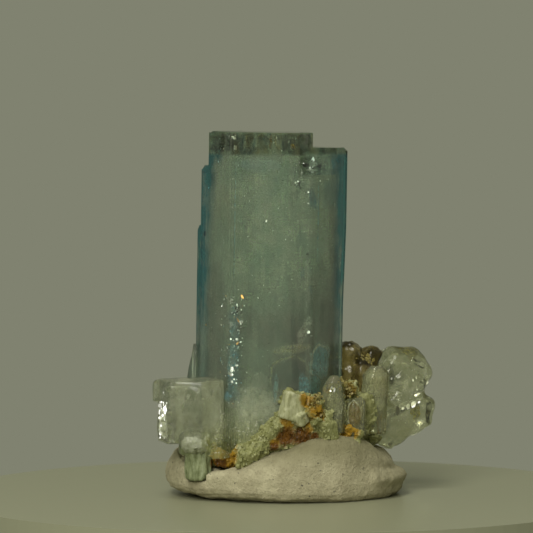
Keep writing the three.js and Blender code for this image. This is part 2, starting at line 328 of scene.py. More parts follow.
def haze_finish(name, thinnest, thickest):
    # A growth zone: a layer of bubbles and dust too small to see, drawn out upwards in streaks. It is
    # olive at the left and in the lower half, blue along the sides and milky at the foot.
    made, tree = new_material(name)
    place = add(tree, "TexCoord", give="Object")
    x = add(tree, "SeparateXYZ", {0: place}, give="X")
    z = add(tree, "SeparateXYZ", {0: place}, give="Z")
    # How far across the crystal a place is, before it leans.
    x = add(tree, "Math", {0: z, 1: -math.tan(PRISM_LEAN), 2: x}, operation="MULTIPLY_ADD")
    upright = add(tree, "Mapping", {"Vector": place, "Scale": (4200, 4200, 700)})
    streaks = add(tree, "TexNoise", {"Vector": upright, "Scale": 1.0, "Detail": 5.0, "Roughness": 0.75})
    across = add(tree, "Mapping", {"Vector": place, "Scale": (1300, 1300, 6500)})
    rungs = add(tree, "TexNoise", {"Vector": across, "Scale": 1.0, "Detail": 4.0, "Roughness": 0.75})
    clouds = add(tree, "TexNoise", {"Vector": place, "Scale": 420, "Detail": 7.0, "Roughness": 0.65})
    weave = add(tree, "Math", {0: streaks, 1: rungs}, operation="ADD")
    dust = add(tree, "Math", {0: weave, 1: clouds}, operation="ADD")
    thin = add(tree, "MapRange", {0: dust, 1: 1.25, 2: 1.75, 3: thinnest, 4: thickest})
    below_cap = add(tree, "MapRange", {0: z, 1: 0.0341, 2: 0.0339, 3: 0.3, 4: 1.0})
    cover = add(tree, "Math", {0: thin, 1: below_cap}, operation="MULTIPLY")
    milk = add(tree, "MapRange", {0: z, 1: 0.0122, 2: 0.0082, 3: 0.0, 4: 0.35})
    cover = add(tree, "Math", {0: cover, 1: milk}, operation="ADD")
    share = add(tree, "MapRange", {0: dust, 1: 1.25, 2: 1.75})
    shade = add(tree, "Mix", {0: share, 6: linear("#85a893"), 7: linear("#c6d8b8")}, **COLOURS)
    # The columns left of the front edge are olive, and so is the lower half, more and more to the right.
    leftward = add(tree, "MapRange", {0: x, 1: -0.0052, 2: -0.0058, 3: 0.0, 4: 0.35})
    rightward = add(tree, "MapRange", {0: x, 1: -0.0040, 2: 0.0040, 3: 0.3, 4: 1.25})
    down = add(tree, "MapRange", {0: z, 1: 0.0225, 2: 0.0165, 3: 0.0, 4: 1.0})
    low = add(tree, "Math", {0: rightward, 1: down}, operation="MULTIPLY")
    olive = add(tree, "Math", {0: leftward, 1: low}, operation="MAXIMUM")
    uneven = add(tree, "MapRange", {0: clouds, 1: 0.35, 2: 0.65, 3: 0.5, 4: 1.3})
    olive = add(tree, "Math", {0: olive, 1: uneven}, operation="MULTIPLY", use_clamp=True)
    shade = add(tree, "Mix", {0: olive, 6: shade, 7: linear("#435236")}, **COLOURS)
    # The outermost columns on both sides are blue, most of all in the upper half.
    far_left = add(tree, "MapRange", {0: x, 1: -0.0075, 2: -0.0081})
    far_right = add(tree, "MapRange", {0: x, 1: 0.0040, 2: 0.0050})
    sides = add(tree, "Math", {0: far_left, 1: far_right}, operation="ADD")
    high = add(tree, "MapRange", {0: z, 1: 0.0150, 2: 0.0230, 3: 0.15, 4: 0.95})
    blue = add(tree, "Math", {0: sides, 1: high}, operation="MULTIPLY", use_clamp=True)
    shade = add(tree, "Mix", {0: blue, 6: shade, 7: linear("#4a949f")}, **COLOURS)
    # Where it is milky at the foot, it is also paler.
    share = add(tree, "Math", {0: milk, 1: 2.2}, operation="MULTIPLY")
    shade = add(tree, "Mix", {0: share, 6: shade, 7: linear("#b3bc96")}, **COLOURS)
    look = {"Base Color": shade, "Roughness": 0.9, "Specular IOR Level": 0.0, "Alpha": cover}
    surface = add(tree, "BsdfPrincipled", look)
    add(tree, "OutputMaterial", {"Surface": surface})
    return made


def growth_zone(depth):
    """The crystal as it was earlier, that much smaller all round, as a thin layer inside it."""
    bm = terraced_prism()
    bmesh.ops.remove_doubles(bm, verts=bm.verts, dist=0.06)
    bmesh.ops.recalc_face_normals(bm, faces=bm.faces)
    bm.normal_update()
    for vert in bm.verts:
        vert.co -= depth * vert.normal
    lean(bm)
    return bm


# How deep each zone lies, and how much it covers where it is thinnest and thickest.
GROWTH_ZONES = [(0.75, 0.12, 0.50), (2.6, 0.05, 0.40)]
for depth, thinnest, thickest in GROWTH_ZONES:
    name = f"growth_zone_{round(10 * depth)}"
    finish_piece(growth_zone(depth), name, haze_finish(name, thinnest, thickest), *IN_PRISM)


FRONT_LEFT = PRISM_LEFT + PRISM_HALF_DEPTH / math.tan(math.pi / 3)
FRONT_RIGHT = PRISM_RIGHT - PRISM_HALF_DEPTH / math.tan(math.pi / 3)


def behind_front(across, up, deep):
    """The place that deep behind the crystal's front faces, and how far its face turns away there."""
    if across < FRONT_LEFT:
        away = math.radians(-60)
        y = -PRISM_HALF_DEPTH + (FRONT_LEFT - across) * math.tan(math.pi / 3)
    elif across > FRONT_RIGHT:
        away = math.radians(60)
        y = -PRISM_HALF_DEPTH + (across - FRONT_RIGHT) * math.tan(math.pi / 3)
    else:
        away = 0.0
        y = -PRISM_HALF_DEPTH
    return Vector((across - deep * math.sin(away), y + deep * math.cos(away), up)), away


def flake_finish(name, code):
    # A flat hollow or a film of mica, seen from inside the crystal: it shines like a tiny mirror.
    made, tree = new_material(name)
    surface = add(tree, "BsdfPrincipled", {"Base Color": linear(code), "Metallic": 1.0, "Roughness": 0.32})
    add(tree, "OutputMaterial", {"Surface": surface})
    return made


FLAKE_TILT, FLAKE_THICK = math.radians(76), 0.02


def flakes(places, seed, set_at=None):
    """Thin six-sided flakes of each radius, tilted a little back from the display side. Their places are
    (across, deep, up) behind the crystal's front, or plain x, y, z."""
    chance = random.Random(seed)
    bm = bmesh.new()
    for across, deep, up, radius in places:
        centre, away = set_at(across, up, deep) if set_at else (Vector((across, deep, up)), 0.0)
        back, aside, round_about = chance.gauss(0, 0.14), chance.gauss(0, 0.3), chance.gauss(-0.06, 0.16)
        tilt = Euler((FLAKE_TILT + back, aside, round_about)).to_matrix().to_4x4()
        stretch = Matrix.Diagonal((chance.uniform(0.35, 1.0), chance.uniform(0.6, 1.7), 1.0, 1.0))
        place = Matrix.Translation(centre) @ Matrix.Rotation(away / 2, 4, "Z")
        bmesh.ops.create_cone(
            bm,
            cap_ends=True,
            segments=6,
            radius1=radius,
            radius2=radius,
            depth=FLAKE_THICK,
            matrix=place @ tilt @ stretch,
        )
    if set_at:
        lean(bm)
    return bm


def scattered(count, low, high, sizes, seed):
    """Chance places in a box, each with a radius, most of them small."""
    chance = random.Random(seed)
    return [
        (
            *[chance.uniform(a, b) for a, b in zip(low, high)],
            sizes[0] + (sizes[1] - sizes[0]) * chance.random() ** 3,
        )
        for _ in range(count)
    ]


# A band of flakes stands just behind the front edge at the left, and single ones are spread about.
BAND_LOW, BAND_HIGH = (-6.7, 0.15, 9.4), (-4.3, 0.6, 20.2)
FACE_LOW, FACE_HIGH = (-8.3, 0.15, 9.0), (5.4, 0.7, 33.5)
WHITE_FLAKES = [
    (-5.35, 0.4, 12.8, 0.30),
    (-5.35, 0.4, 12.3, 0.16),
    (-5.5, 0.4, 17.3, 0.24),
    (-6.3, 0.4, 18.0, 0.15),
    (-4.9, 0.4, 15.8, 0.18),
    (-5.0, 0.4, 18.7, 0.22),
    (-0.9, 0.4, 33.2, 0.10),
    (-2.2, 0.4, 27.5, 0.09),
    (-7.2, 0.4, 33.2, 0.12),
    (4.7, 0.4, 29.1, 0.18),
    (3.2, 0.4, 31.5, 0.12),
    (1.9, 0.4, 30.4, 0.10),
    (1.9, 0.4, 29.3, 0.10),
    (2.1, 0.4, 16.6, 0.14),
    (-5.4, 0.4, 35.8, 0.14),
    (-6.5, 0.4, 35.2, 0.16),
    (2.35, 3.95, 33.2, 0.20),
    (2.75, 3.95, 33.35, 0.12),
    (1.95, 3.95, 32.45, 0.12),
    (2.4, 3.95, 32.35, 0.10),
]
# Chance ones in the last growth at the top and under the shoulder at the right: each box's low and
# high corners, the flakes' sizes, how many there are, and the seed.
LATE_GLINTS = [
    ((-7.5, 0.25, 34.4), (-5.0, 0.5, 35.9), (0.04, 0.16), 18, 24),
    ((-1.6, 0.25, 34.4), (0.6, 0.5, 35.9), (0.03, 0.10), 10, 26),
    ((0.6, 0.3, 31.0), (1.4, 0.6, 34.4), (0.03, 0.09), 12, 28),
    ((2.0, 3.9, 32.3), (2.38, 4.0, 33.6), (0.05, 0.16), 18, 30),
]
AMBER_FLAKES = [
    (-4.85, 0.4, 17.7, 0.24),
    (-4.45, 0.4, 20.0, 0.17),
    (-4.85, 0.4, 15.4, 0.14),
    (-8.2, 0.4, 16.9, 0.14),
]
for name, code, places, seed in (
    (
        "silver_flakes",
        "#ffffff",
        WHITE_FLAKES
        + scattered(12, (-5.2, 0.3, 18.3), (-4.6, 0.4, 19.0), (0.05, 0.10), seed=7)
        + scattered(120, BAND_LOW, BAND_HIGH, (0.03, 0.15), seed=2)
        + scattered(120, FACE_LOW, FACE_HIGH, (0.02, 0.06), seed=3)
        + [
            glint
            for low, high, sizes, count, glint_seed in LATE_GLINTS
            for glint in scattered(count, low, high, sizes, glint_seed)
        ],
        4,
    ),
    ("amber_flakes", "#ffbe70", AMBER_FLAKES + scattered(9, BAND_LOW, BAND_HIGH, (0.02, 0.08), seed=5), 6),
    ("blue_flakes", "#8fd0ff", scattered(26, BAND_LOW, BAND_HIGH, (0.02, 0.10), seed=8), 9),
):
    finish_piece(flakes(places, seed, behind_front), name, flake_finish(name, code), *IN_PRISM)


def grain_finish(name, code, cover):
    # Grains of a dark mineral such as tourmaline, or tubes filled with deeper blue beryl.
    made, tree = new_material(name)
    surface = add(tree, "BsdfPrincipled", {"Base Color": linear(code), "Roughness": 0.45, "Alpha": cover})
    add(tree, "OutputMaterial", {"Surface": surface})
    return made


# Vector noise is different in every run unless it is given a seed.
noise.seed_set(5)


def grains(places, seed):
    """Rounded grains at each (across, deep, up, radius, height) behind the crystal's front."""
    chance = random.Random(seed)
    bm = bmesh.new()
    for across, deep, up, radius, height in places:
        size = Matrix.Diagonal((radius, 0.6 * radius, height, 1.0))
        askew = Matrix.Rotation(chance.gauss(0.0, 0.06), 4, "Y")
        place = Matrix.Translation(behind_front(across, up, deep)[0])
        matrix = place @ askew @ size
        for vert in bmesh.ops.create_icosphere(bm, subdivisions=2, radius=1.0, matrix=matrix)["verts"]:
            vert.co += 0.25 * radius * noise.noise_vector(vert.co * 2.5 / radius)
    lean(bm)
    return bm


def drawn_out(spots, times):
    """The same places for grains that are so many times as high as they are wide."""
    return [(across, deep, up, radius, times * radius) for across, deep, up, radius in spots]


DARK_GRAINS = [
    (1.55, 3.9, 33.0, 0.26, 0.22),
    (4.27, 1.5, 32.9, 0.22, 0.20),
    (1.0, 0.5, 31.2, 0.11, 0.28),
    (1.15, 0.5, 30.8, 0.08, 0.16),
    (1.9, 0.5, 24.3, 0.17, 0.12),
    (-4.95, 0.5, 18.6, 0.20, 0.26),
    (-5.8, 0.5, 14.4, 0.06, 0.22),
    (-4.85, 0.5, 18.9, 0.10, 0.10),
    (-5.15, 0.5, 18.4, 0.09, 0.12),
    (-8.45, 0.4, 26.0, 0.2, 0.3),
]
FILLED_TUBES = [
    (1.15, 0.4, 26.2, 0.07, 1.1),
    (1.45, 0.4, 22.3, 0.13, 0.75),
    (2.1, 0.4, 29.8, 0.10, 0.9),
    (3.1, 0.4, 27.4, 0.05, 4.2),
    (-5.6, 0.4, 10.1, 0.5, 0.6),
    (-5.45, 0.4, 11.6, 0.2, 1.4),
    (-1.1, 0.4, 11.2, 0.22, 1.3),
]
BLUE_BAND_LOW, BLUE_BAND_HIGH = (-6.4, 0.35, 9.4), (-4.6, 0.6, 19.0)
for name, code, cover, places, seed in (
    (
        "dark_grains",
        "#161c17",
        1.0,
        DARK_GRAINS
        + drawn_out(scattered(9, (-5.3, 0.3, 18.2), (-4.5, 0.4, 19.1), (0.05, 0.12), 13), 1.2)
        + drawn_out(scattered(110, FACE_LOW, FACE_HIGH, (0.02, 0.06), 12), 1.2),
        11,
    ),
    (
        "blue_tubes",
        "#5d97a2",
        0.35,
        FILLED_TUBES
        + drawn_out(scattered(120, FACE_LOW, FACE_HIGH, (0.02, 0.06), 14), 9)
        + drawn_out(scattered(60, BLUE_BAND_LOW, BLUE_BAND_HIGH, (0.03, 0.08), 15), 9),
        16,
    ),
    ("pale_tubes", "#dfe8d6", 0.3, drawn_out(scattered(110, FACE_LOW, FACE_HIGH, (0.015, 0.04), 17), 10), 18),
):
    finish_piece(grains(places, seed), name, grain_finish(name, code, cover), *IN_PRISM, smooth=True)


def healed_crack_finish():
    # A crack that healed as the crystal grew: a curved sheet of tiny bubbles, thin towards its rim.
    made, tree = new_material("healed_cracks")
    place = add(tree, "TexCoord", give="Object")
    bubbles = add(tree, "TexNoise", {"Vector": place, "Scale": 2600, "Detail": 3.0, "Roughness": 0.7})
    inside = add(tree, "Attribute", give="Fac", attribute_name="cover")
    tint = add(tree, "Attribute", give="Color", attribute_name="tint")
    seen = add(tree, "MapRange", {0: bubbles, 1: 0.35, 2: 0.6, 3: 0.45, 4: 1.0})
    cover = add(tree, "Math", {0: seen, 1: inside}, operation="MULTIPLY")
    surface = add(tree, "BsdfPrincipled", {"Base Color": tint, "Roughness": 0.5, "Alpha": cover})
    add(tree, "OutputMaterial", {"Surface": surface})
    return made


def hump(value, middle, wide):
    """A smooth hump of height 1 in its middle, that falls to about a third so far from it."""
    return math.exp(-(((value - middle) / wide) ** 2))


RAGGED, RIM_AT, RIM_WIDE, CREASES = 0.25, 0.86, 0.07, 0.12


def crack(bm, centre, wide, high, turn, bow, cover, rim, tint, rim_tint):
    """Adds a bowed oval sheet. It covers that much of what is behind it, and more at its rim."""
    shade = bm.verts.layers.float.get("cover") or bm.verts.layers.float.new("cover")
    colour = bm.verts.layers.float_color.get("tint") or bm.verts.layers.float_color.new("tint")
    place = Matrix.Translation(centre) @ Euler([math.radians(a) for a in turn]).to_matrix().to_4x4()
    inner, outer = Vector(linear(tint)), Vector(linear(rim_tint))
    made = bmesh.ops.create_grid(bm, x_segments=28, y_segments=28, size=1.0)["verts"]
    for vert in made:
        u, v = vert.co.x, vert.co.y
        x, y = u * math.sqrt(1 - v * v / 2), v * math.sqrt(1 - u * u / 2)
        out = math.hypot(x, y)
        ragged = 1.0 + RAGGED * noise.noise(Vector((2 * x, 2 * y, centre[2])))
        # The rim shows over most of the sheet's edge, and most strongly at its upper left.
        edge = hump(out, RIM_AT, RIM_WIDE) * (0.6 + 0.4 * (y - x) / max(out, 0.1) / 1.42)
        vert[shade] = min(1.0, cover * (1 - out**6) + rim * edge) * (out < 0.985)
        vert[colour] = inner.lerp(outer, min(1.0, edge))
        swell = bow * (1 - out * out) + CREASES * noise.noise(Vector((3 * x, 3 * y, centre[0])))
        vert.co = place @ Vector((x * wide * ragged, y * high * ragged, swell))


VEIL_BOW = 0.15


def veils(places):
    """Sheets behind the crystal's front: where each stands, its half sizes as seen from the front, how
    much it covers and its colour. A rim of its own has these too, and after them may come how the sheet
    is tipped and turned. Most have no such rim and stand straight up."""
    bm = bmesh.new()
    for across, deep, up, wide, high, cover, tint, *more in places:
        rim, rim_tint, tip, turned = more + [0.0, tint, 90, 0][len(more) :]
        centre, away = behind_front(across, up, deep)
        along, turn = wide / math.cos(away), (tip, turned, math.degrees(away))
        crack(bm, centre, along, high, turn, VEIL_BOW, cover, rim, tint, rim_tint)
    lean(bm)
    return bm


HEALED_CRACK = healed_crack_finish()
PALE, YELLOWISH, SMOKE, BLUE_LENS = "#eef2dd", "#dcd9a4", "#3e4a34", "#82c8dc"
VEILS = [
    # The blue lens at the right above the crust, the smoky hollow beside it under its pale arc, and the
    # pale streak that climbs from the arc to the right.
    (3.5, 0.4, 13.6, 1.1, 1.9, 0.85, BLUE_LENS, 0.5, PALE),
    (3.0, 0.4, 11.3, 0.6, 1.3, 0.75, BLUE_LENS, 0.1, BLUE_LENS),
    (1.7, 0.35, 11.3, 0.6, 1.3, 0.60, BLUE_LENS, 0.1, BLUE_LENS),
    (0.4, 0.55, 12.2, 2.2, 2.3, 0.50, SMOKE, 0.35, YELLOWISH, 84, -6),
    (0.4, 0.4, 14.9, 2.1, 0.5, 0.42, YELLOWISH, 0.0, YELLOWISH, 90, -8),
    (1.7, 0.45, 16.7, 0.5, 1.7, 0.38, PALE, 0.0, PALE, 90, 24),
    # Milky clouds low on the front, the ring of blue at the foot of the band, and the smoky columns.
    (-2.6, 0.3, 11.7, 0.9, 0.9, 0.28, PALE, 0.22, PALE),
    (-3.0, 0.5, 9.4, 2.6, 2.0, 0.55, PALE, 0.0, PALE, 84, 0),
    (-1.0, 0.3, 11.0, 0.25, 1.7, 0.60, "#b4dcdd", 0.0, "#b4dcdd", 90, 3),
    (-5.1, 0.6, 10.1, 0.7, 0.8, 0.45, BLUE_LENS, 0.3, "#a8dde2"),
    (-5.15, 0.6, 12.6, 0.6, 3.4, 0.45, BLUE_LENS),
    (-5.1, 0.5, 17.2, 0.4, 2.4, 0.35, BLUE_LENS),
    (-1.5, 0.6, 17.0, 3.0, 2.2, 0.26, SMOKE, 0.0, SMOKE, 80, 8),
    (3.5, 0.4, 20.5, 1.0, 3.4, 0.30, SMOKE),
    (4.3, 0.4, 17.6, 1.0, 2.6, 0.45, SMOKE),
    (4.9, 0.4, 12.4, 0.6, 3.0, 0.75, "#33401f"),
    (-7.2, 0.4, 18.5, 1.1, 4.6, 0.38, SMOKE),
    (-7.2, 0.4, 11.8, 1.3, 3.2, 0.45, SMOKE),
    (4.6, 0.4, 25.0, 0.5, 5.0, 0.20, "#8a7a4c"),
    (4.9, 0.4, 21.6, 0.4, 3.2, 0.55, "#3a7a80"),
    # A bluish cloud under the last growth, and a fine blue line down the left of the front.
    (-3.2, 0.4, 33.0, 2.4, 0.8, 0.32, "#a6ccd6"),
    (-5.3, 0.35, 27.0, 0.08, 6.3, 0.55, "#9cc8d2"),
    (-6.6, 0.4, 28.6, 0.8, 2.6, 0.22, "#8f8a52"),
    # Dark, blue and ochre patches in the last growth at the top.
    (-6.6, 0.2, 35.1, 1.1, 0.9, 0.75, "#20271a"),
    (-5.4, 0.2, 35.2, 0.35, 0.9, 0.6, "#20271a"),
    (-2.6, 0.2, 35.2, 0.6, 0.8, 0.7, "#1f5354"),
    (-1.9, 0.2, 35.3, 0.2, 0.8, 0.7, "#9a7a2c"),
    (-0.5, 0.2, 35.2, 0.3, 0.8, 0.6, "#2c3524"),
    (0.3, 0.2, 34.9, 0.35, 0.3, 0.7, "#b3992e"),
    (1.5, 0.2, 35.2, 0.75, 1.0, 0.75, "#2b3024"),
    (-4.4, 0.2, 35.2, 0.25, 0.8, 0.5, "#c3cdb2"),
    (-1.3, 0.2, 35.2, 0.22, 0.8, 0.6, "#c3cdb2"),
    # The same growth on the shoulder at the right, with blue under it.
    (3.9, 3.2, 34.3, 1.4, 0.3, 0.5, "#7f8a45"),
    (4.2, 0.4, 30.2, 0.8, 1.7, 0.50, "#4f97a2"),
    (4.9, 0.3, 33.2, 0.45, 0.9, 0.60, "#4f97a2"),
    (2.3, 0.3, 29.9, 0.35, 1.3, 0.60, "#2c6670", 0.0, "#2c6670", 90, -14),
    (3.0, 0.3, 27.0, 0.06, 5.0, 0.50, BLUE_LENS),
    # The bright window between the two dark grains under the shoulder.
    (2.33, 3.9, 33.1, 0.50, 0.26, 0.85, "#fbfff4", 0.4, PALE),
    (2.2, 3.9, 32.5, 0.70, 0.12, 0.8, "#fbfff4", 0.3, PALE),
]
finish_piece(veils(VEILS), "healed_cracks", HEALED_CRACK, *IN_PRISM, smooth=True)

# ---- Clear quartz ----------------------------------------------------------------------------------
# Colourless quartz crystals that grew with the aquamarine: a thick one at the left, small upright ones
# at the right, and large ones behind. Their edges are rounded by solution, and their faces wavy.


def quartz_finish(name, clear, code, bright_code, dull, stain_code="#8d8434", shine=0.5):
    # Quartz, grown: colourless and glassy to milky, its faces slightly wavy. Iron oxide lies on it as
    # a thin film where it is marked as stained.
    made, tree = new_material(name)
    place = add(tree, "TexCoord", give="Object")
    waves = add(tree, "TexNoise", {"Vector": place, "Scale": 800, "Detail": 5.0, "Roughness": 0.6})
    mist = add(tree, "TexNoise", {"Vector": place, "Scale": 2400, "Detail": 5.0, "Roughness": 0.7})
    stain = add(tree, "Attribute", give="Fac", attribute_name="stain")
    film = add(tree, "Math", {0: stain, 1: waves}, operation="ADD")
    share = add(tree, "MapRange", {0: mist, 1: 0.35, 2: 0.65})
    pale = add(tree, "Mix", {0: share, 6: linear(code), 7: linear(bright_code)}, **COLOURS)
    share = add(tree, "MapRange", {0: film, 1: 0.75, 2: 0.95})
    tint = add(tree, "Mix", {0: share, 6: pale, 7: linear(stain_code)}, **COLOURS)
    polish = add(tree, "MapRange", {0: mist, 1: 0.3, 2: 0.7, 3: 0.6 * dull, 4: dull})
    relief = add(tree, "Bump", {"Height": waves, "Strength": 0.4, "Distance": 0.00015})
    look = {
        "Base Color": tint, "Roughness": polish, "IOR": 1.545, "Specular IOR Level": shine,
        "Transmission Weight": clear, "Normal": relief,
    }
    surface = add(tree, "BsdfPrincipled", look)
    depth = add(tree, "VolumeAbsorption", {"Color": (0.90, 0.93, 0.82, 1.0), "Density": 30.0})
    add(tree, "OutputMaterial", {"Surface": surface, "Volume": depth})
    return made


def from_frame(node):
    """A merged copy of a solid of the frame, in millimetres."""
    bm = bmesh.new()
    bm.from_mesh(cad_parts[node].data)
    bmesh.ops.scale(bm, vec=(1 / MM, 1 / MM, 1 / MM), verts=bm.verts)
    bmesh.ops.remove_doubles(bm, verts=bm.verts, dist=0.002)
    return bm


def remeshed(bm, cell):
    """The outer skin of the solids in a bmesh, in even cells of that size."""
    mesh = bpy.data.meshes.new("rough")
    bm.to_mesh(mesh)
    bm.free()
    rough = bpy.data.objects.new("rough", mesh)
    bpy.context.scene.collection.objects.link(rough)
    skin = rough.modifiers.new("skin", "REMESH")
    skin.mode = "VOXEL"
    skin.voxel_size = cell
    made = bmesh.new()
    made.from_object(rough, bpy.context.evaluated_depsgraph_get())
    bpy.data.objects.remove(rough)
    bpy.data.meshes.remove(mesh)
    return made


def worn_skin(bm, cell, wave=0.0, ripple=0.0, swell=0.0, rounds=2):
    """The solids in a bmesh as one skin with rounded edges: wavy by so much, with finer ripples, and
    swollen to close the gaps that the frame's solids keep."""
    made = remeshed(bm, cell)
    for _ in range(rounds):
        bmesh.ops.smooth_vert(
            made, verts=made.verts, factor=0.5, use_axis_x=True, use_axis_y=True, use_axis_z=True
        )
    made.normal_update()
    for vert in made.verts:
        lift = swell + wave * noise.noise(vert.co * 0.7) + ripple * noise.noise(vert.co * 2.4)
        vert.co += vert.normal * lift
    return made


def mark(bm, name, places):
    """Writes how strongly each place is marked, from 1 at each centre to 0 at its reach."""
    layer = bm.verts.layers.float.new(name)
    for vert in bm.verts:
        vert[layer] = max(
            max(0.0, 1.0 - (vert.co - Vector(centre)).length / reach) for centre, reach in places
        )


QUARTZ = quartz_finish("clear_quartz", 0.88, "#d6d7a8", "#f8f8d8", 0.1)
HAZY_QUARTZ = quartz_finish("hazy_quartz", 0.93, "#cfd4b8", "#f4f6e6", 0.24, shine=0.12)
REAR_QUARTZ = quartz_finish("yellowed_quartz", 0.97, "#c0c49c", "#eaecd2", 0.12, "#98902a")
# Where iron oxide lies on the clear crystals, and how far each stain reaches.
QUARTZ_STAINS = [
    ((12.8, 4.0, 14.2), 1.7),
    ((11.6, 3.2, 14.6), 0.9),
    ((13.9, 2.6, 9.4), 1.3),
    ((9.3, 2.4, 6.6), 1.4),
    ((6.6, -4.6, 10.2), 1.0),
    ((5.6, -6.6, 11.0), 0.8),
]
THICK_AXIS, THICK_END, THICK_WIDER, THICK_LOWER = Vector((-9.25, -5.2)), 12.0, 1.27, 0.2
for node in ("clear_crystal_left", "clear_point_right", "clear_column_right", "clear_column_side"):
    crystal = from_frame(node)
    for vert in crystal.verts:
        # The thick one ends flat, with hardly a slope round its end.
        if node == "clear_crystal_left" and vert.co.z > THICK_END - 0.1:
            vert.co.xy = THICK_AXIS + THICK_WIDER * (vert.co.xy - THICK_AXIS)
            vert.co.z -= THICK_LOWER
    crystal = worn_skin(crystal, 0.11, 0.14, 0.03, swell=0.06)
    mark(crystal, "stain", QUARTZ_STAINS)
    finish = HAZY_QUARTZ if node == "clear_crystal_left" else QUARTZ
    finish_piece(crystal, node + "_quartz", finish, "clear_quartz", [node], smooth=True)


def mist_finish():
    # Mist in quartz: bubbles too small to see, in cloudy patches.
    made, tree = new_material("quartz_mist")
    place = add(tree, "TexCoord", give="Object")
    clouds = add(tree, "TexNoise", {"Vector": place, "Scale": 900, "Detail": 7.0, "Roughness": 0.72})
    share = add(tree, "MapRange", {0: clouds, 1: 0.4, 2: 0.65})
    shade = add(tree, "Mix", {0: share, 6: linear("#c3c9ab"), 7: linear("#f0f3de")}, **COLOURS)
    cover = add(tree, "MapRange", {0: clouds, 1: 0.38, 2: 0.66, 3: 0.0, 4: 0.34})
    look = {"Base Color": shade, "Roughness": 0.9, "Specular IOR Level": 0.0, "Alpha": cover}
    surface = add(tree, "BsdfPrincipled", look)
    add(tree, "OutputMaterial", {"Surface": surface})
    return made


QUARTZ_MIST = mist_finish()
for node, depth in (("clear_crystal_left", 0.4), ("clear_column_side", 0.5)):
    inside = worn_skin(from_frame(node), 0.2, 0.1, swell=-depth)
    finish_piece(inside, node + "_mist", QUARTZ_MIST, "inclusions", [node], smooth=True)

# The large ones behind are rounded all over: their skin is made coarse first and smoothed, and then fine.
rear = worn_skin(from_frame("clear_crystals_rear"), 0.40, swell=0.15)
rear = worn_skin(rear, 0.14, 0.30, 0.03, swell=0.05)
mark(rear, "stain", QUARTZ_STAINS)
finish_piece(
    rear, "clear_crystals_rear_quartz", REAR_QUARTZ, "clear_quartz", ["clear_crystals_rear"], smooth=True
)

